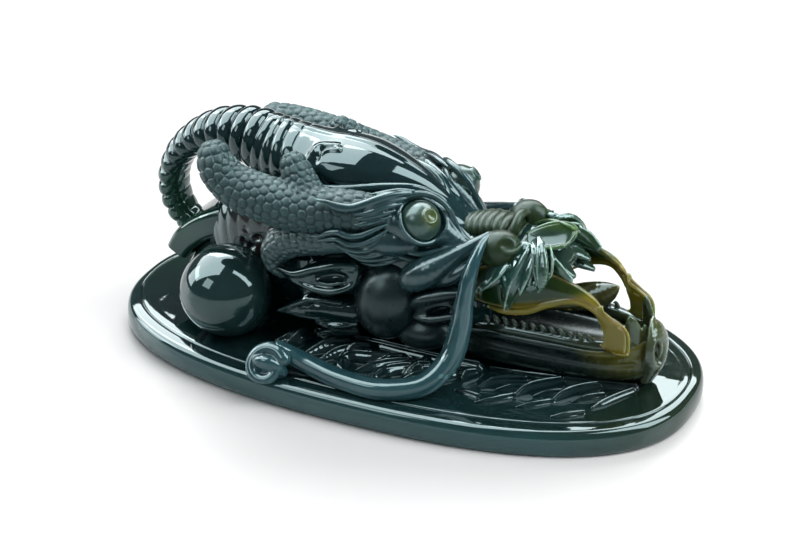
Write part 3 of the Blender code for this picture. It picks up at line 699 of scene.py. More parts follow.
beam = [
    (0.2, -6.1, 20.0, 1.4),
    (-1.0, -6.6, 20.2, 2.0),
    (-3.3, -7.4, 20.4, 2.3),
    (-8.8, -8.6, 20.2, 2.5),
    (-13.6, -9.1, 20.8, 2.5),
    (-16.9, -9.2, 21.8, 2.3),
    (-18.7, -9.0, 23.2, 2.1),
    (-19.3, -8.7, 24.3, 1.8),
]
tine = [(-8.4, -7.8, 21.0, 2.0), (-9.9, -6.9, 22.9, 1.75), (-10.7, -6.5, 24.1, 1.45)]
horn = Clay((-22.5, -12.5, 16.5), (4.5, -3.5, 26.6), FINE * 0.8)
horn.add(strand(beam)).add(strand(tine), 0.8)
seeds = scale_seeds(beam) + scale_seeds(tine, 0.95)
new_piece("right_horn", horn.shape(scales(seeds, smooth_from=(-1.8, -0.4))), FROSTED)
flatter = [
    (2.2, 5.9, 19.6, 1.6),
    (-3.3, 6.8, 19.9, 2.1),
    (-8.8, 7.3, 20.3, 2.4),
    (-13.6, 7.5, 21.0, 2.4),
    (-17.5, 7.4, 21.6, 2.2),
    (-20.0, 7.1, 22.2, 1.7),
]
short_tine = [(-8.6, 6.6, 21.2, 1.8), (-10.2, 6.0, 22.6, 1.5), (-11.0, 5.7, 23.4, 1.2)]
horn = Clay((-22.6, 2.5, 16.5), (4.5, 11.0, 26.0), FINE * 0.9)
horn.add(strand(flatter)).add(strand(short_tine), 0.8)
seeds = scale_seeds(flatter) + scale_seeds(short_tine, 1.0)
new_piece("left_horn", horn.shape(scales(seeds, smooth_from=(-2, 1))), FROSTED)
lobe = [
    (-0.5, -7.0, 17.2, 1.2),
    (-3.5, -7.6, 17.3, 1.6),
    (-6.3, -8.2, 17.0, 1.8),
    (-9.8, -8.4, 16.3, 2.0),
    (-12.0, -8.4, 14.6, 1.7),
    (-12.3, -8.4, 12.8, 1.2),
    (-11.3, -8.6, 11.8, 0.6),
]
clay = Clay((-15.5, -11.5, 10), (2, -4, 20.5)).add(strand(lobe))
pair("scaled_lobe", clay.shape(scales(scale_seeds(lobe, 1.0), 0.16, 1.0, (-6.5, -4.5))), SHADED)


# ---- skull and eyes ----------------------------------------------------------------------
skull = Clay((-24, -8.5, STONE - 0.5), (12, 8.5, 23.4), 0.18)
skull.add(strand([
    (-20.8, 0, 8.8, 3.2, 4.6),
    (-18.5, 0, 10.6, 4.8, 6.8),
    (-13, 0, 11.7, 6.0, 8.4),
    (-6, 0, 12.1, 6.6, 8.8),
    (1, 0, 11.8, 6.8, 8.6),
    (6, 0, 11.2, 6.1, 7.2),
    (9.4, 0, 11.0, 4.8, 5.6),
], (0, 0, 1), square=2.3))
skull.add(strand([
    (-6.5, 0, 17.6, 5.0, 2.9),
    (-2, 0, 18.1, 6.6, 3.5),
    (2.5, 0, 17.6, 6.5, 3.4),
    (6.0, 0, 16.0, 4.9, 2.7),
    (9.4, 0, 15.4, 3.6, 2.2),
], (0, 0, 1)), 0.8)
skull.add(strand([(2.5, 0, 19.6, 2.0), (6, 0, 17.2, 1.5), (8.5, 0, 16.4, 1.1)]), 1.2)
for y in (-1, 1):  # folds of the forehead, from the nose to over each eye
    skull.add(strand([(7.4, 0.9 * y, 18.0, 0.4), (6.0, 1.5 * y, 18.9, 0.6), (4.2, 2.1 * y, 20.3, 0.65),
                      (2.2, 3.0 * y, 21.4, 0.6), (0.2, 4.2 * y, 22.0, 0.4)]), 0.25)
    skull.add(strand([(6.6, 0.2 * y, 18.4, 0.3), (5.4, 0.6 * y, 19.4, 0.5), (4.0, 1.0 * y, 20.6, 0.4),
                      (3.0, 1.4 * y, 21.4, 0.15)]), 0.2)
    skull.add(strand([(-10.5, 4.7 * y, 21.0, 0.3), (-7.2, 4.9 * y, 21.3, 0.45),
                      (-4.5, 4.5 * y, 21.7, 0.5), (-1.5, 3.6 * y, 22.1, 0.5), (1.6, 2.4 * y, 22.1, 0.45),
                      (3.6, 1.3 * y, 21.3, 0.35), (4.8, 0.5 * y, 20.4, 0.2)]), 0.15)
for y in (-1, 1):
    skull.cut(oval((-15.6, 6.6 * y, 12.2), (1.5, 1.0, 2.6), (0, 25, 0)), 0.6)
    skull.cut(oval((-12.4, 7.0 * y, 12.6), (1.2, 1.0, 1.9), (0, -20, 0)), 0.5)
    skull.add(oval((-13.6, 6.3 * y, 14.4), (0.9, 0.9, 0.9)), 0.5)
    skull.add(oval((-12.5, 6.5 * y, 13.4), (0.6, 0.6, 0.6)), 0.4)
for y in (-1, 1):  # the rough ground left under the horn's end
    for i in range(16):
        a, b = 2.4 * i, 1.7 * i + 0.6
        skull.cut(oval((-16.6 + 1.5 * math.sin(a), (5.9 + 0.7 * math.sin(1.3 * b)) * y,
                        13.6 + 1.9 * math.cos(b)), (0.7, 0.5, 0.45), (25 * i, 40 * i, 0)), 0.12)
skull.floor()
new_piece("skull", skull.shape(), SKULL)

EYE_AT = np.array([3.75, -5.3, 19.85])
EYE_RADII = (2.3, 2.3, 2.3)
SOCKET_RADII = (2.5, 2.5, 2.5)
LEFT_EYE_SHIFT = (0, -0.1, -0.35)
GAZE = unit((0.71, -0.38, 0.59))
ACROSS = unit(np.cross(GAZE, (0, 0, 1)))
ABOVE = np.cross(ACROSS, GAZE)


def eye_ring(out, radius, thick, start=0, end=360, soft_end=0.0):
    """A ring round the line of sight, at a distance out from the eye's middle."""
    count = 19
    turns = np.radians(np.linspace(start, end, count))
    fade = np.sin(np.linspace(0, math.pi, count)) ** 0.5
    return strand([(*(EYE_AT + GAZE * out + radius * (math.cos(t) * ACROSS
                                                      + math.sin(t) * ABOVE)),
                    thick * (1 - soft_end + soft_end * f)) for t, f in zip(turns, fade)], steps=2)


def make_eyes():
    """The eyeballs with their pupil rings, then the lids, folds and bags round them."""
    ball = Clay((0.5, -9, 16.5), (8, -2, 24), FINE * 0.6)
    ball.add(oval(EYE_AT, EYE_RADII))
    ball.add(oval(EYE_AT + GAZE * 0.98, (1.45, 1.45, 1.45)), 0.15)
    ball.cut(oval(EYE_AT + GAZE * 2.95, (0.8, 0.8, 0.8)), 0.12)
    ball.add(eye_ring(2.3, 0.76, 0.13), 0.12)
    pair("eyeball", ball.shape(), EYE, LEFT_EYE_SHIFT)

    lid = Clay((-2.5, -9.5, 14.0), (10.0, -0.5, 24.5), FINE * 0.85)
    lid.add(oval(EYE_AT - GAZE * 1.15, (2.75, 2.75, 2.75)))
    lid.add(strand([(-1.5, -5.8, 19.2, 2.0), (1.2, -5.1, 19.2, 2.4), (3.8, -4.0, 19.0, 2.4),
                    (5.8, -3.5, 17.9, 1.8), (7.6, -3.2, 16.9, 1.1), (8.9, -3.0, 16.6, 0.5)]), 0.8)
    lid.cut(oval(EYE_AT + GAZE * 0.5, SOCKET_RADII), 0.15)
    lid.cut(oval(EYE_AT + GAZE * 2.4 - ACROSS * 0.3, SOCKET_RADII), 0.3)
    lid.add(eye_ring(0.35, 2.58, 0.28, 200, 395, 0.6), 0.15)
    lid.add(eye_ring(0.0, 2.66, 0.28, 20, 200, 0.6), 0.15)
    crease = [(9.0, -2.8, 17.2, 0.15), (8.0, -3.1, 17.9, 0.3), (7.0, -3.2, 19.4, 0.32),
              (5.9, -3.3, 21.3, 0.34), (4.3, -3.8, 22.4, 0.36), (2.6, -4.9, 22.6, 0.38),
              (1.4, -6.3, 21.9, 0.36), (0.9, -7.2, 20.6, 0.3), (0.9, -7.6, 19.2, 0.15)]
    lid.add(strand(crease), 0.2)
    lower = [(8.8, -3.2, 16.9, 0.1), (7.5, -4.5, 17.2, 0.26), (6.0, -5.7, 16.9, 0.3),
             (4.2, -6.7, 16.6, 0.3), (2.4, -7.3, 17.2, 0.26), (1.2, -7.7, 18.2, 0.12)]
    lid.add(strand(lower), 0.2)
    bag = [(8.4, -3.2, 17.0, 0.1), (6.6, -5.1, 16.2, 0.28), (4.4, -6.2, 15.6, 0.3),
           (2.2, -6.8, 15.9, 0.26), (0.6, -7.2, 16.6, 0.1)]
    lid.add(strand(bag), 0.3)
    pair("eyelid", lid.shape(), TEMPLE, LEFT_EYE_SHIFT)


make_eyes()


def flow(points, thick, steps=5):
    """A thin wavy ridge that swells after its start and runs out to a point."""
    count = len(points)
    shares = np.arange(count) / (count - 1)
    sizes = thick * np.clip(np.minimum(shares * 3 + 0.4, (1 - shares) * 3 + 0.12), 0, 1)
    return strand([(*p, max(s, 0.06)) for p, s in zip(points, sizes)], steps=steps)


upper = Clay((-9.0, -12.5, 17.0), (4.5, -3.0, 25.4), FINE * 0.75)
upper.add(strand([(0.4, -6.4, 20.9, 0.9), (-0.8, -6.9, 20.8, 1.5), (-2.4, -7.4, 20.7, 1.7),
                  (-4.6, -7.8, 20.6, 1.4)]))
for line, thick in (
    ([(2.6, -5.2, 22.9), (1.2, -6.3, 22.9), (-0.2, -7.5, 22.6), (-1.4, -8.5, 22.2),
      (-2.6, -9.3, 21.9), (-3.9, -9.8, 22.0), (-5.2, -10.2, 22.5), (-6.4, -10.4, 22.7)], 0.5),
    ([(2.3, -5.7, 22.5), (0.8, -7.1, 22.3), (-0.6, -8.2, 22.0), (-1.8, -9.0, 21.6)], 0.3),
    ([(2.1, -6.2, 22.0), (0.6, -7.6, 21.8), (-0.8, -8.7, 21.4), (-2.2, -9.4, 21.3)], 0.3),
    ([(1.6, -6.9, 21.4), (0.3, -8.0, 21.1), (-1.2, -8.9, 20.8), (-2.4, -9.4, 20.7)], 0.3),
    ([(1.3, -7.2, 20.8), (0.0, -8.3, 20.4), (-1.4, -9.1, 20.1), (-2.3, -9.5, 20.1)], 0.28),
    ([(2.9, -4.8, 23.1), (1.6, -5.6, 23.2), (0.2, -6.6, 23.1), (-1.4, -7.4, 22.9)], 0.28),
):
    upper.add(flow(line, thick), 0.1)
pair("upper_brow", upper.shape(), TEMPLE, (0, -0.9, -1.0))
lower = Clay((-9.5, -12.5, 12.5), (4.5, -3.5, 22.0), FINE * 0.75)
lower.add(strand([(3.0, -6.2, 17.4, 1.2), (1.2, -7.0, 17.5, 1.5), (-1.2, -7.5, 17.6, 1.6),
                  (-3.8, -8.0, 17.6, 1.6), (-6.0, -8.5, 17.4, 1.3)]))
lower.add(strand([(3.0, -5.4, 16.2, 1.0), (0.6, -6.2, 15.6, 1.0), (-2.4, -6.6, 15.2, 0.8)]), 0.5)
for line, thick in (
    ([(1.0, -7.8, 20.0), (-0.3, -8.8, 19.4), (-1.4, -9.4, 18.9), (-2.6, -9.9, 18.8),
      (-3.8, -10.1, 19.1), (-4.9, -10.2, 18.8), (-6.0, -10.3, 18.2), (-7.2, -10.4, 18.1)], 0.34),
    ([(1.0, -7.8, 19.3), (0.0, -8.7, 18.5), (-1.2, -9.3, 17.9), (-2.6, -9.7, 17.7),
      (-3.8, -10.0, 18.2), (-5.0, -10.2, 18.0), (-6.2, -10.2, 17.5)], 0.34),
    ([(1.2, -7.7, 18.6), (0.2, -8.5, 17.6), (-1.2, -9.0, 16.9), (-2.8, -9.5, 17.0),
      (-4.2, -9.9, 17.5), (-5.4, -10.0, 17.3)], 0.36),
    ([(1.8, -7.4, 17.8), (0.8, -8.1, 16.8), (-0.6, -8.5, 16.2), (-2.2, -8.8, 16.1),
      (-3.8, -9.2, 16.5)], 0.32),
    ([(2.8, -6.9, 16.8), (1.4, -7.4, 16.0), (-0.2, -7.6, 15.4), (-2.0, -7.8, 15.1),
      (-3.4, -8.0, 15.4)], 0.32),
    ([(2.6, -6.3, 15.6), (1.0, -6.8, 15.0), (-0.8, -7.1, 14.4), (-2.6, -7.2, 14.3)], 0.26),
):
    lower.add(flow(line, thick), 0.1)
pair("lower_brow", lower.shape(), TEMPLE)


# ---- cheeks, ears and fins ------------------------------------------------------------------
cheek = Clay((-5, -11, 4), (5.5, -2, 16)).add(oval((0.5, -6.2, 10.0), (3.9, 3.5, 4.7), (0, 12, 0)))
pair("cheek", cheek.shape(), SATIN)
muscle = Clay((0, -10, 10.5), (13, -2, 21))
muscle.add(strand([(2.6, -6.6, 12.9, 1.1), (3.9, -7.0, 13.8, 1.65), (5.6, -7.0, 15.0, 1.7),
                   (7.6, -6.2, 16.5, 1.15), (9.6, -5.0, 17.9, 0.75), (11.2, -3.8, 19.0, 0.5)]))
muscle.add(strand([(5.2, -6.6, 13.3, 0.7), (7.4, -6.6, 14.2, 0.8), (9.4, -6.0, 15.6, 0.7),
                   (11.0, -5.0, 17.2, 0.4)]), 0.4)
pair("jaw_muscle", muscle.shape(), TEMPLE)
corner = Clay((2, -10, 7.5), (12, -2, 15))
corner.add(oval((6.4, -6.1, 11.0), (3.4, 2.3, 2.3), (0, -15, 0)))
corner.add(strand([(3.6, -7.6, 10.6, 0.4), (5.2, -8.1, 11.9, 0.6), (7.2, -8.0, 12.8, 0.6),
                   (9.6, -7.4, 13.3, 0.4)]), 0.5)
corner.cut(oval((7.3, -8.6, 10.9), (1.5, 1.7, 0.62), (0, -22, 0)), 0.3)
corner.add(strand([(4.4, -7.9, 9.6, 0.3), (6.4, -8.4, 9.9, 0.45), (8.8, -8.0, 10.6, 0.35)]), 0.3)
pair("mouth_corner", corner.shape(), SATIN)
jowl = Clay((0.5, -10, 4), (10, -2, 11)).add(oval((4.9, -6.2, 7.1), (3.4, 2.3, 2.1), (0, -12, 0)))
pair("jowl", jowl.shape(), SATIN)

ear = Clay((-13.5, -11.5, 9.5), (-1.0, -4.5, 16.5))
ear.add(oval((-5.6, -8.0, 12.8), (3.6, 1.5, 1.7), (0, -14, 6)))
ear.add(strand([(-7.5, -8.7, 12.2, 1.0, 0.9), (-9.8, -9.1, 12.0, 0.7, 0.6),
                (-11.6, -9.2, 12.6, 0.15, 0.15)], (0, 1, 0)), 0.5)
ear.add(strand([(-11.6, -9.3, 12.7, 0.15), (-9.4, -9.7, 12.6, 0.4), (-7.0, -9.6, 13.6, 0.45),
                (-4.8, -9.1, 14.3, 0.4), (-2.6, -8.1, 14.3, 0.3)]), 0.3)
ear.add(strand([(-9.4, -9.4, 11.6, 0.3), (-6.8, -9.6, 11.2, 0.4), (-4.4, -9.4, 11.4, 0.4),
                (-2.8, -8.6, 12.2, 0.35), (-2.5, -8.2, 13.8, 0.3)]), 0.3)
ear.cut(oval((-4.9, -9.8, 12.75), (2.1, 1.7, 0.95), (0, -12, 8)), 0.2)
ear.add(strand([(-6.8, -9.2, 12.0, 0.2), (-5.4, -9.2, 11.9, 0.25), (-4.0, -8.9, 12.3, 0.2)]), 0.2)
pair("ear", ear.shape(), POLISHED)
fin = Clay((-13.5, -11, 3.5), (-1.5, -4, 12))
fin.add(strand([(-3.4, -7.2, 7.9, 1.7, 1.3), (-6.4, -7.7, 7.8, 1.5, 1.2), (-9.2, -8.2, 7.4, 1.0, 0.8),
                (-11.9, -8.7, 6.9, 0.15, 0.15)], (0, 1, 0)))
fin.add(strand([(-11.9, -8.8, 7.0, 0.15), (-9.4, -8.8, 8.5, 0.35), (-7.6, -8.7, 9.3, 0.4),
                (-4.4, -8.3, 9.4, 0.35)]), 0.25)
fin.add(strand([(-8.9, -8.3, 11.2, 0.5), (-8.6, -7.9, 10.0, 0.7), (-8.3, -8.0, 8.8, 0.7)]), 0.5)
fin.add(strand([(-7.2, -8.3, 6.3, 0.3), (-5.0, -8.6, 6.5, 0.4), (-2.8, -8.0, 6.9, 0.35)]), 0.3)
fin.add(strand([(-7.2, -7.4, 4.6, 0.4), (-5.4, -7.4, 5.3, 0.7), (-3.2, -7.0, 5.6, 0.6)]), 0.3)
pair("cheek_fin", fin.shape(), POLISHED)


# ---- nose --------------------------------------------------------------------------------
def bridge_relief(share, angle, half_width):
    """Pillowed rings round the bridge."""
    place = (share * 11.5) % 1.0
    pillow = math.sqrt(max(1 - (2 * place - 1) ** 2, 0)) - 0.7
    return 0.26 * pillow * np.ones_like(angle)


bridge = [
    (4.6, 0, 17.0, 1.5, 0.8),
    (6.2, 0, 17.4, 2.0, 1.0),
    (8.3, 0, 18.0, 2.3, 1.3),
    (10.5, 0, 18.5, 2.3, 1.4),
    (12.3, 0, 18.4, 2.1, 1.3),
    (13.4, 0, 17.9, 1.8, 1.1),
]
flare = [(12.9, -2.6, 17.6, 0.4), (13.3, -1.6, 19.6, 0.5), (13.3, 0, 20.3, 0.55),
         (13.3, 1.6, 19.6, 0.5), (12.9, 2.6, 17.6, 0.4)]
new_piece("nose_bridge", together(sweep(bridge, steps=40, relief=bridge_relief),
                                sweep(flare, around=32)), NOSE)
snout = Clay((8, -7, 10.5), (21, 7, 20))
snout.add(strand([
    (9.0, 0, 15.2, 4.4, 2.9),
    (12, 0, 15.3, 4.2, 2.9),
    (15, 0, 15.5, 3.9, 2.7),
    (17.0, 0, 15.7, 3.2, 2.0),
    (18.2, 0, 15.8, 2.4, 1.3),
], (0, 0, 1), square=2.4))
snout.add(strand([(14, 0, 17.0, 2.0), (16, 0, 17.8, 1.5), (17.2, 0, 17.9, 0.9)]), 0.8)
for y in (-1, 1):  # petals of stone below the leaf
    snout.add(strand([(17.0, 1.6 * y, 16.8, 1.3, 0.7), (18.8, 2.0 * y, 16.2, 1.3, 0.6),
                      (20.4, 2.2 * y, 15.4, 0.5, 0.3)], (0, 0, 1)), 0.2)
    snout.add(strand([(17.2, 2.2 * y, 15.4, 1.1, 0.6), (19.2, 2.6 * y, 14.6, 1.1, 0.5),
                      (21.0, 2.9 * y, 13.8, 0.3, 0.2)], (0, 0, 1)), 0.2)
new_piece("snout", snout.shape(), MUZZLE)
nostril = Clay((8.5, -7.8, 14.0), (17.0, -1, 21.5), FINE * 0.8)
nostril.add(oval((12.5, -4.0, 17.8), (2.55, 1.9, 2.1), (0, -25, 0)))
nostril.cut(oval((14.3, -5.6, 19.5), (1.2, 0.9, 0.85), (0, -25, 10)), 0.35)
nostril.add(strand([(13.3, -5.4, 18.7, 0.12), (14.0, -5.5, 18.4, 0.2), (14.8, -5.1, 18.5, 0.22),
                    (15.2, -4.5, 19.0, 0.12)]), 0.2)
pair("nostril", nostril.shape(), NOSE)


def sheet(rows, thick, steps=8):
    """A curved sheet through rows of points, thick in the middle and thin at its edges."""
    rows = np.array(rows, float)
    fine = np.array([smooth(r, steps) for r in rows])
    fine = np.array([smooth(fine[:, k], steps) for k in range(fine.shape[1])])
    m, n = fine.shape[:2]
    du, dv = np.gradient(fine, axis=0), np.gradient(fine, axis=1)
    normal = np.cross(du, dv)
    normal /= np.maximum(np.linalg.norm(normal, axis=2, keepdims=True), 1e-9)
    u, v = np.linspace(-1, 1, m)[:, None], np.linspace(-1, 1, n)[None, :]
    edge = np.sqrt(np.clip(1 - np.maximum(np.abs(u), np.abs(v)) ** 6, 0, 1))
    push = normal * (thick / 2 * (0.12 + 0.88 * edge))[..., None]
    top, under = (fine + push).reshape(-1, 3), (fine - push).reshape(-1, 3)
    faces = quads_of_grid(m, n, False)
    index = np.arange(m * n).reshape(m, n)
    border = np.concatenate([index[:-1, 0], index[-1, :-1], index[:0:-1, -1], index[0, :0:-1]])
    following = np.roll(border, -1)
    wall = np.stack([border, following, following + m * n, border + m * n], -1)
    points = np.concatenate([top, under])
    quads = np.concatenate([faces, faces[:, ::-1] + m * n, wall])
    if turned_in(points - points.mean(0), quads):
        quads = quads[:, ::-1]
    return points, quads


leaf = [
    [(14.6, -1.3, 18.9), (15.7, -0.9, 19.6), (16.9, -0.4, 20.1), (18.2, 0.1, 20.25), (19.5, 0.2, 20.0)],
    [(14.8, -1.8, 18.5), (15.9, -1.6, 18.7), (17.1, -1.2, 19.0), (18.4, -0.8, 19.2), (19.6, -0.5, 19.35)],
    [(15.1, -2.4, 18.3), (16.2, -2.4, 18.2), (17.4, -2.2, 18.3), (18.5, -1.8, 18.5), (19.4, -1.3, 18.8)],
    [(15.4, -3.0, 18.5), (16.4, -3.2, 18.5), (17.6, -3.1, 18.6), (18.5, -2.6, 18.6), (19.1, -2.0, 18.6)],
]
leaf_edge = [(14.6, -1.3, 18.9, 0.15), (15.7, -0.9, 19.6, 0.2), (16.9, -0.4, 20.1, 0.24),
             (18.2, 0.1, 20.25, 0.24), (19.4, 0.2, 20.0, 0.24), (19.75, -0.4, 19.4, 0.22),
             (19.5, -1.2, 18.85, 0.2), (19.1, -2.0, 18.6, 0.15)]
neck = sweep([(13.6, 0, 17.2, 2.2, 1.0), (15.0, 0, 17.8, 2.1, 1.0), (16.4, 0.0, 18.1, 1.7, 0.8),
              (17.8, 0.0, 18.2, 0.9, 0.5)], square=2.2)
half = together(sheet(leaf, 0.5), sweep(leaf_edge, around=24))
new_piece("nose_leaf", together(half, mirrored(half), neck), SHELL)


# ---- mouth -------------------------------------------------------------------------------
lip = [
    [(10.2, -4.4, 15.4), (10.2, -5.2, 13.5), (10.4, -5.3, 11.8)],
    [(13.0, -4.5, 16.4), (13.2, -5.3, 13.9), (13.4, -5.3, 11.6)],
    [(15.6, -4.5, 16.9), (15.8, -5.3, 14.4), (16.0, -5.2, 12.0)],
    [(18.2, -4.3, 16.6), (18.4, -5.0, 14.9), (18.5, -5.1, 13.2)],
    [(20.6, -4.2, 15.8), (20.7, -4.8, 14.9), (20.7, -4.9, 14.0)],
    [(22.6, -4.1, 14.9), (22.6, -4.5, 14.5), (22.4, -4.6, 13.9)],
    [(24.2, -3.9, 13.5), (24.1, -4.1, 13.2), (23.9, -4.1, 12.9)],
]
rim = sweep([(12.0, -5.4, 11.4, 0.2), (14.0, -5.5, 11.3, 0.34), (16.5, -5.4, 11.9, 0.42),
             (18.6, -5.3, 13.1, 0.46), (20.7, -5.0, 13.9, 0.44), (22.4, -4.7, 13.9, 0.4),
             (23.8, -4.2, 13.0, 0.4), (24.4, -4.0, 12.2, 0.4)], around=24)
edge = sweep([(17.4, -4.5, 16.6, 0.12), (19.4, -4.4, 16.1, 0.24), (21.4, -4.2, 15.4, 0.26),
              (23.2, -4.0, 14.4, 0.24), (24.2, -3.95, 13.4, 0.2)], around=20)
pair("upper_lip", together(sheet(lip, 0.75), rim, edge), AMBER)
blade = [
    [(23.7, -3.9, 13.4), (24.1, -4.05, 13.6), (24.5, -3.9, 13.6)],
    [(24.0, -3.9, 12.5), (24.4, -4.05, 12.6), (24.8, -3.9, 12.7)],
    [(24.3, -3.9, 11.6), (25.0, -4.0, 11.9), (25.8, -3.85, 12.2)],
    [(24.7, -3.95, 10.6), (25.7, -3.9, 11.2), (26.8, -3.75, 11.6)],
    [(24.8, -4.05, 9.6), (26.0, -3.9, 10.2), (27.3, -3.7, 10.8)],
    [(24.6, -4.1, 8.9), (26.0, -3.95, 9.0), (27.4, -3.75, 9.4)],
    [(25.0, -4.1, 8.6), (26.1, -4.0, 8.3), (27.3, -3.8, 8.3)],
]
ridge = sweep([(24.6, -4.1, 12.9, 0.2), (25.8, -4.0, 12.1, 0.2), (27.0, -3.85, 11.3, 0.22),
               (27.5, -3.8, 10.2, 0.22), (27.5, -3.8, 8.6, 0.2)], around=20)
foot_edge = sweep([(24.6, -4.2, 9.0, 0.16), (25.5, -4.2, 8.7, 0.18), (26.6, -4.1, 8.3, 0.18),
                   (27.5, -3.9, 8.4, 0.2)], around=20)
pair("fang", together(sheet(blade, 0.85), ridge, foot_edge), AMBER)

front = Clay((13.5, -7.8, 13), (22, -1.5, 21), FINE * 0.75)
front.add(strand([(16.2, -2.9, 18.9, 0.9, 0.35), (17.0, -4.2, 18.5, 1.1, 0.4),
                  (17.8, -5.2, 17.2, 1.0, 0.45), (18.1, -5.6, 15.9, 0.7, 0.4),
                  (17.9, -5.8, 14.8, 0.2, 0.2)], (-0.4, -0.8, 0.6), square=3.0))
for line, thick in (
    ([(15.8, -3.2, 19.0), (16.6, -4.5, 18.7), (17.2, -5.5, 17.2), (17.7, -6.0, 15.5)], 0.2),
    ([(16.5, -3.1, 19.4), (17.2, -4.5, 19.0), (17.7, -5.7, 17.3), (18.0, -6.1, 15.4)], 0.2),
    ([(17.2, -3.0, 19.3), (17.8, -4.4, 18.9), (18.3, -5.5, 17.2), (18.2, -6.0, 15.6)], 0.2),
    ([(17.8, -2.8, 19.0), (18.6, -4.0, 18.3), (19.0, -5.0, 16.9), (18.6, -5.6, 15.8)], 0.18),
):
    front.add(flow(line, thick), 0.1)
front.add(strand([(18.2, -3.6, 17.6, 0.9, 0.4), (19.4, -4.0, 16.7, 1.0, 0.4),
                  (20.8, -4.1, 15.9, 0.5, 0.3)], (0, 1, 0.3)), 0.2)
pair("front_frill", front.shape(), FRILL)
rear = Clay((8.5, -7.8, 11), (18.5, -2, 20.5), FINE * 0.75)
rear.add(strand([(16.0, -3.8, 18.6, 1.2, 0.5), (15.4, -4.8, 17.0, 1.4, 0.5),
                 (14.9, -5.5, 15.2, 1.1, 0.5), (14.6, -5.8, 13.4, 0.7, 0.45),
                 (14.5, -6.0, 12.0, 0.2, 0.2)], (0, -1, 0.2)))
rear.add(strand([(15.4, -4.2, 17.0, 1.4, 0.5), (14.0, -5.0, 16.0, 1.3, 0.5),
                 (12.6, -5.4, 15.0, 0.9, 0.4), (10.8, -6.0, 13.2, 0.2, 0.2)], (0, -1, 0.4)), 0.2)
rear.add(strand([(15.6, -5.0, 15.6, 0.9, 0.4), (16.6, -5.4, 15.0, 0.9, 0.4),
                 (17.4, -5.5, 15.2, 0.5, 0.3)], (0, -1, 0.2)), 0.2)
for line, thick in (
    ([(16.0, -4.0, 18.9), (15.8, -4.9, 18.0), (15.2, -5.8, 16.2), (14.8, -6.2, 14.2),
      (14.5, -6.2, 12.2)], 0.36),
    ([(13.6, -5.7, 15.9), (14.2, -6.1, 15.2), (14.5, -6.3, 13.8), (14.5, -6.3, 12.6)], 0.28),
    ([(15.6, -5.6, 16.2), (15.4, -6.0, 14.8), (14.9, -6.2, 13.2)], 0.24),
    ([(13.6, -5.5, 16.2), (12.4, -5.9, 15.1), (11.5, -6.2, 14.2), (10.7, -6.4, 13.2)], 0.3),
    ([(16.4, -5.0, 17.4), (16.4, -5.6, 16.3), (16.2, -5.9, 15.3)], 0.24),
    ([(16.9, -5.0, 17.0), (16.9, -5.6, 16.1), (16.7, -5.8, 15.2)], 0.2),
):
    rear.add(flow(line, thick), 0.1)
for line in (
    [(13.6, -5.0, 17.0, 1.0, 0.2), (12.8, -5.7, 15.9, 1.1, 0.22), (12.0, -6.3, 14.6, 0.6, 0.18),
     (11.4, -6.6, 13.6, 0.08, 0.08)],
    [(14.6, -4.8, 17.4, 0.9, 0.2), (14.3, -5.8, 15.8, 1.0, 0.22), (14.2, -6.4, 13.9, 0.7, 0.18),
     (14.3, -6.6, 12.0, 0.08, 0.08)],
    [(16.2, -4.4, 18.0, 0.8, 0.2), (16.2, -5.4, 16.6, 0.9, 0.22), (16.0, -6.0, 15.0, 0.5, 0.18),
     (15.9, -6.2, 14.0, 0.08, 0.08)],
):
    rear.add(strand(line, (-0.5, -0.7, 0.55), steps=5), 0.12)
pair("rear_frill", rear.shape(), FRILL)

tongue = Clay((8, -4, 8.5), (26, 4, 15.5))
tongue.add(strand([(9, 0, 10.2, 2.2, 0.8), (15, 0, 10.6, 2.5, 0.9), (18.5, 0, 11.3, 2.4, 1.2),
                   (21.2, 0, 12.1, 2.2, 1.5), (23.2, 0, 12.9, 1.5, 1.3),
                   (24.6, 0, 13.9, 0.35, 0.35)], (0, 0, 1), square=1.7))
new_piece("tongue", tongue.shape(), TONGUE)

jaw = Clay((8.5, -6.5, STONE - 0.5), (31.5, 6.5, 10.5))
jaw.add(strand([
    (9.4, 0, 5.8, 5.1, 2.5),
    (14, 0, 5.7, 5.0, 2.4),
    (19, 0, 5.8, 4.8, 2.4),
    (23.6, 0, 6.0, 4.3, 2.3),
    (26.8, 0, 6.3, 3.3, 2.3),
    (28.3, 0, 6.7, 2.0, 1.9),
], (0, 0, 1), square=3.0))
jaw.cut(strand([(12, 0, 9.0, 3.0, 1.5), (20, 0, 9.0, 2.9, 1.5), (27, 0, 9.2, 1.9, 1.3)],
               (0, 0, 1)), 0.5)
for y in (-1, 1):
    jaw.add(strand([(9.5, 4.7 * y, 7.7, 0.5), (15, 4.6 * y, 7.7, 0.55), (20, 4.4 * y, 7.7, 0.55),
                    (24.2, 4.0 * y, 7.7, 0.55), (26.9, 2.9 * y, 8.1, 0.6), (28.5, 1.4 * y, 8.6, 0.7)]),
            0.4)
    jaw.cut(strand([(9.5, 5.3 * y, 6.6, 0.25), (15, 5.2 * y, 6.5, 0.28), (20, 5.0 * y, 6.5, 0.28),
                    (25, 4.4 * y, 6.5, 0.25), (28, 3.2 * y, 6.8, 0.15)]), 0.4)
jaw.floor()
new_piece("lower_jaw", jaw.shape(), JAW)


def tooth(foot, tip, thick):
    """A pointed tooth."""
    foot, tip = np.array(foot, float), np.array(tip, float)
    return strand([(*foot, thick), (*(foot + (tip - foot) * 0.55), thick * 0.72), (*tip, 0.1)],
                  steps=2)


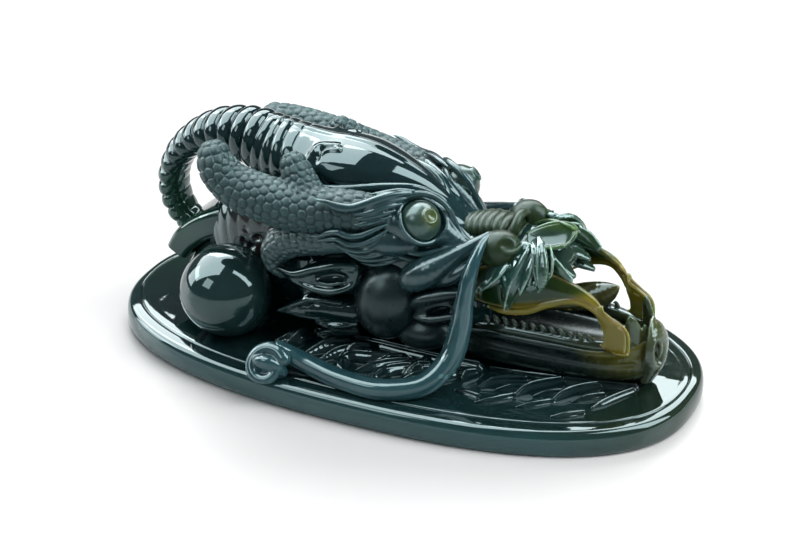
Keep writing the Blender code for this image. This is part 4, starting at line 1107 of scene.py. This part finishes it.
lower_row = Clay((9.5, -6, 6.5), (30.5, -0.5, 12.8), FINE * 0.75)
lower_row.add(strand([(10.4, -4.2, 8.3, 0.6), (17, -4.1, 8.5, 0.7), (23.5, -3.8, 8.5, 0.7),
                      (27.4, -2.4, 8.6, 0.6)]))
for i in range(12):  # small curled teeth
    x, y = 11.4 + 1.08 * i, -4.25 + 0.03 * i
    lower_row.add(strand([(x + 0.25, y + 0.1, 8.5, 0.36), (x, y - 0.1, 9.3, 0.3),
                          (x - 0.25, y - 0.15, 9.75, 0.16), (x - 0.5, y - 0.1, 9.6, 0.08)]), 0.08)
lower_row.add(strand([(27.9, -2.0, 8.4, 0.85, 0.4), (27.5, -2.2, 10.2, 0.95, 0.4),
                      (27.2, -2.4, 11.6, 0.6, 0.35), (27.1, -2.4, 12.2, 0.1, 0.1)],
                     (0.5, -0.8, 0.2)), 0.2)
lower_row.add(strand([(28.8, -1.2, 8.6, 0.6, 0.35), (28.5, -1.3, 10.0, 0.55, 0.3),
                      (28.4, -1.3, 10.9, 0.1, 0.1)], (0.6, -0.7, 0.2)), 0.2)
pair("lower_teeth", lower_row.shape(), TOOTH)
upper_row = Clay((9, -7, 9), (19, -3, 13.5), FINE * 0.75)
upper_row.add(strand([(9.8, -4.7, 11.8, 0.5), (13, -4.7, 11.7, 0.5), (17, -4.3, 12.6, 0.4)]))
for i in range(7):
    x = 10.8 + 0.95 * i
    upper_row.add(tooth((x, -4.8 + 0.03 * i, 11.5), (x - 0.1, -5.1, 10.5 + 0.12 * i), 0.4), 0.1)
pair("upper_teeth", upper_row.shape(), JAW)
chin = Clay((26.5, -4, STONE), (33.5, 4, 13), FINE * 0.75)
chin.add(strand([(28.8, -0.2, 4.6, 2.0, 0.9), (29.4, -0.4, 6.4, 2.4, 1.1),
                 (29.6, -0.4, 8.4, 2.3, 1.0), (29.3, -0.3, 10.0, 1.6, 0.7),
                 (28.9, -0.2, 11.0, 0.5, 0.3)], (1, 0, 0)))
chin.cut(oval((30.6, -1.5, 8.2), (0.9, 1.0, 1.7), (0, 10, -35)), 0.3)
chin.add(strand([(30.1, -1.2, 7.2, 0.15), (30.3, -1.1, 8.3, 0.26), (30.0, -1.0, 9.3, 0.15)]), 0.2)
chin.add(strand([(28.9, -2.6, 6.2, 0.2), (29.3, -2.7, 7.8, 0.3), (29.3, -2.2, 9.4, 0.3),
                 (29.1, -1.2, 10.8, 0.28), (28.9, 0.0, 11.3, 0.2)]), 0.2)
new_piece("chin_curl", chin.shape(), CHIN)


# ---- whiskers -----------------------------------------------------------------------------
def whisker_relief(share, angle, half_width):
    """A soft ridge along the outside."""
    return 0.16 * half_width * np.exp(-((angle - 1.9) / 0.5) ** 2)


whisker = [
    (11.6, -4.0, 19.4, 0.3),
    (11.2, -5.2, 18.9, 0.45),
    (10.9, -6.6, 17.7, 0.65),
    (10.7, -7.8, 15.9, 0.85),
    (10.5, -8.5, 13.4, 1.0),
    (10.3, -9.2, 10.0, 1.25),
    (9.7, -10.6, 6.8, 1.3),
    (7.7, -13.2, 4.6, 1.25),
    (3.6, -15.0, 4.0, 1.2),
    (-1.0, -14.9, 4.0, 1.15),
    (-4.6, -14.4, 4.4, 1.1),
    (-7.2, -14.3, 5.2, 1.0),
    (-8.9, -14.7, 6.0, 0.9),
]
pair("whisker", sweep(whisker, facing=(0, 0, 1), steps=24, around=64, relief=whisker_relief), TEAL)


def make_curl():
    """The coil that ends the whisker, wound inwards on a tilted disc."""
    centre = np.array([-9.5, -16.2, 4.25])
    across, above = np.array([1, 0, 0]), np.array([0, 0.57, 0.82])
    out = np.cross(across, above)
    stations = []
    for share in np.linspace(0, 1, 26):
        turn = math.radians(35 + 610 * share)
        radius = 2.1 * (1 - share) ** 0.85 + 0.1
        place = (centre + radius * (math.cos(turn) * across + math.sin(turn) * above)
                 - out * (-0.15 - 0.25 * share))
        stations.append((*place, 0.62 * (1 - share) ** 0.7 + 0.2))
    disc = Clay((-13.4, -19.2, STONE - 0.4), (-5.8, -12.0, 8.2), 0.12)
    disc.add(strand(stations, steps=2), 0.06)
    disc.add(oval(centre - out * 0.6, (2.2, 1.1, 2.2), (35, 0, 0)), 0.06)
    disc.floor()
    pair("whisker_curl", disc.shape(), TEAL)


make_curl()


# ---- hair on the slab ------------------------------------------------------------------------
mane_lines = [  # (the lock's course from its tip to its root, its height)
    ([(-7.7, -10.2), (-6.2, -7.8), (-4.4, -6.0)], 1.3),
    ([(-10.4, -9.2), (-9.8, -8.0), (-9.2, -7.0)], 1.4),
    ([(-3.8, -11.4), (-3.1, -9.1), (-0.7, -8.3), (1.8, -7.6)], 1.2),
    ([(1.6, -14.0), (1.5, -12.0), (2.2, -10.1), (4.2, -8.4), (5.8, -7.3)], 1.1),
    ([(0.9, -9.8), (1.4, -8.4), (2.4, -7.2)], 1.2),
    ([(4.3, -10.5), (4.5, -8.8), (5.2, -6.8)], 1.1),
    ([(-3.6, -8.6), (-2.9, -7.8), (-1.6, -7.0)], 1.5),
    ([(-1.2, -12.9), (-2.8, -12.1), (-3.4, -10.4)], 1.0),
    ([(-7.9, -10.8), (-6.6, -8.4), (-4.3, -6.4)], 1.0),
    ([(-5.6, -11.0), (-4.6, -9.0), (-2.4, -7.0), (-1.4, -6.6)], 1.3),
    ([(-6.9, -7.3), (-5.8, -6.4), (-4.4, -5.5)], 1.9),
    ([(-1.0, -11.4), (0.2, -10.0), (1.4, -8.8), (3.2, -7.4)], 1.0),
    ([(4.4, -12.6), (5.0, -10.6), (6.6, -8.6), (8.4, -7.2)], 1.0),
    ([(6.4, -11.4), (7.2, -9.4), (8.8, -7.6)], 1.0),
    ([(-12.0, -9.4), (-10.8, -8.4), (-9.8, -6.4)], 1.0),
]
beard_lines = [
    ([(12.6, -9.1), (13.6, -7.7), (15.0, -6.8), (16.8, -6.0)], 1.0),
    ([(13.4, -12.0), (14.6, -10.9), (15.7, -9.8), (16.8, -8.6)], 0.35),
    ([(16.8, -9.0), (17.5, -7.6), (18.6, -6.3), (20.3, -4.6)], 1.15),
    ([(20.9, -8.4), (21.6, -7.0), (22.6, -5.6), (24.2, -3.9)], 1.15),
    ([(25.2, -7.9), (25.9, -6.4), (26.8, -4.6), (27.8, -2.8)], 0.6),
    ([(10.3, -8.4), (10.5, -7.6), (11.2, -6.8)], 1.0),
    ([(17.8, -11.0), (19.2, -9.8), (20.9, -8.2)], 0.35),
    ([(21.9, -11.2), (23.2, -10.3), (24.7, -9.0)], 0.3),
    ([(10.4, -10.4), (11.6, -10.4), (13.2, -10.6)], 0.3),
    ([(14.4, -8.6), (15.8, -7.6), (17.4, -6.8)], 0.5),
    ([(18.6, -8.2), (19.9, -7.0), (21.5, -5.9)], 0.5),
    ([(22.8, -7.6), (24.0, -6.2), (25.4, -4.9)], 0.5),
]


def make_hair(name, lines, half_width, low, high):
    """Locks lying on the slab: each is a leaf with a sharp crest, highest in its middle."""
    swells = (0.3, 0.85, 1.0, 0.95, 0.9)
    hair = Clay(low, high, FINE * 0.8)
    for line, height in lines:
        body, top = [], []
        for i, (x, y) in enumerate(line):
            share = i / (len(line) - 1)
            swell = swells[int(round(share * 4))]
            body.append((x, y, STONE - 0.1, half_width * swell, max(height * swell, 0.2)))
            top.append((x, y - 0.1, STONE + height * swell, 0.08 + 0.16 * swell))
        hair.add(strand(body, (0, 0, 1), steps=5), 0.12)
        hair.add(strand(top, steps=5), 0.1)
    hair.floor()
    pair(name, hair.shape(), POLISHED)


mane_lines = [(line, 0.82 * height) for line, height in mane_lines]
mane_root = ([(-9, -5.2), (-2, -5.6), (5, -5.8), (11, -5.6)], 1.2)
beard_root = ([(12, -4.6), (20, -4.2), (28, -2.2)], 0.8)
make_hair("mane", [*mane_lines, mane_root], 0.95, (-14, -15, STONE - 0.4), (13.5, -3.5, 6.8))
make_hair("beard", [*beard_lines, beard_root], 0.55, (9, -12.8, STONE - 0.4), (31.8, 1.2, 6))


# ---- studio --------------------------------------------------------------------------------
def make_floor():
    """A plain pale plane under the stone."""
    bpy.ops.mesh.primitive_plane_add(size=2.4)
    floor = bpy.context.object
    floor.name = "studio_floor"
    material = bpy.data.materials.new("pale_floor")
    material.use_nodes = True
    tree = material.node_tree
    shader = tree.nodes["Principled BSDF"]
    where = node(tree, "ShaderNodeTexCoord").outputs["Object"]
    mottle = node(tree, "ShaderNodeTexNoise", {"Vector": where, "Scale": 4.0, "Detail": 3.0})
    colour = ramp(tree, mottle.outputs["Fac"], [(0.3, (0.94, 0.945, 0.945)), (0.7, (0.96, 0.96, 0.96))])
    tree.links.new(colour, shader.inputs["Base Color"])
    shader.inputs["Roughness"].default_value = 0.35
    shader.inputs["Specular IOR Level"].default_value = 0.3
    floor.data.materials.append(material)


def panel(name, place, aim, width, height, radiance, reflected):
    """A soft panel that either shows as a reflection in the polish or lights the stone."""
    light = bpy.data.lights.new(name, "AREA")
    light.shape = "RECTANGLE"
    light.size, light.size_y, light.energy = width, height, radiance * math.pi * width * height
    obj = bpy.data.objects.new(name, light)
    obj.location = place
    obj.rotation_euler = (Vector(aim) - Vector(place)).to_track_quat("-Z", "Y").to_euler()
    obj.visible_diffuse, obj.visible_glossy = not reflected, reflected
    bpy.context.scene.collection.objects.link(obj)


def make_studio():
    """The floor, the soft panels and a pale surround that keeps the polish dark."""
    origin, back_lower_edge = (0, 0, 0), 0.636
    make_floor()
    for reflected, left, right, back in ((True, 7.2, 8.0, 8.4), (False, 2.8, 6.8, 4.4)):
        kind = "reflected" if reflected else "diffuse"
        panel(f"softbox_left_{kind}", (-0.40, 0.02, 0.55), origin, 0.75, 0.8, left, reflected)
        panel(f"softbox_right_{kind}", (0.50, 0.10, 0.55), origin, 0.45, 0.8, right, reflected)
        height = 1.25 if reflected else 0.81
        middle = back_lower_edge + height / 2
        panel(f"softbox_back_{kind}", (-0.393, 0.974, middle), (0, 0, middle), 1.5, height, back,
              reflected)
    panel("softbox_front_reflected", (-0.42, -0.72, 0.6), origin, 0.36, 0.36, 4.5, True)
    panel("softbox_side_reflected", (-1.0, -0.1, 0.35), origin, 0.5, 0.5, 6.0, True)
    world = bpy.data.worlds.new("studio")
    world.use_nodes = True
    tree = world.node_tree
    background = tree.nodes["Background"]
    background.inputs["Color"].default_value = (0.8, 0.85, 0.9, 1)
    background.inputs["Strength"].default_value = 0.16
    seen, fill = (node(tree, "ShaderNodeBackground",
                       {"Color": (0.93, 0.94, 0.95, 1), "Strength": strength})
                  for strength in (1.0, 0.4))
    path = node(tree, "ShaderNodeLightPath")
    soft = node(tree, "ShaderNodeMixShader", {0: path.outputs["Is Diffuse Ray"],
                                              1: background.outputs[0], 2: fill.outputs[0]})
    blend_worlds = node(tree, "ShaderNodeMixShader", {0: path.outputs["Is Camera Ray"],
                                                      1: soft.outputs[0], 2: seen.outputs[0]})
    tree.links.new(blend_worlds.outputs[0], tree.nodes["World Output"].inputs["Surface"])
    bpy.context.scene.world = world
    bpy.context.scene.view_settings.view_transform = "Standard"


def make_camera():
    """The camera at the front right, looking down on the head."""
    turn, rise, distance = math.radians(25), math.radians(29.5), 0.300
    back = Vector((math.sin(turn) * math.cos(rise), -math.cos(turn) * math.cos(rise),
                   math.sin(rise)))
    lens = bpy.data.cameras.new("camera")
    camera = bpy.data.objects.new("camera", lens)
    camera.location = Vector((0, 0, 0.0028)) + back * distance
    camera.rotation_euler = (-back).to_track_quat("-Z", "Y").to_euler()
    lens.sensor_width, lens.lens = 36.0, 121.4
    lens.shift_x, lens.shift_y = -0.0177, 0.0703
    bpy.context.scene.collection.objects.link(camera)
    bpy.context.scene.camera = camera


make_studio()
make_camera()
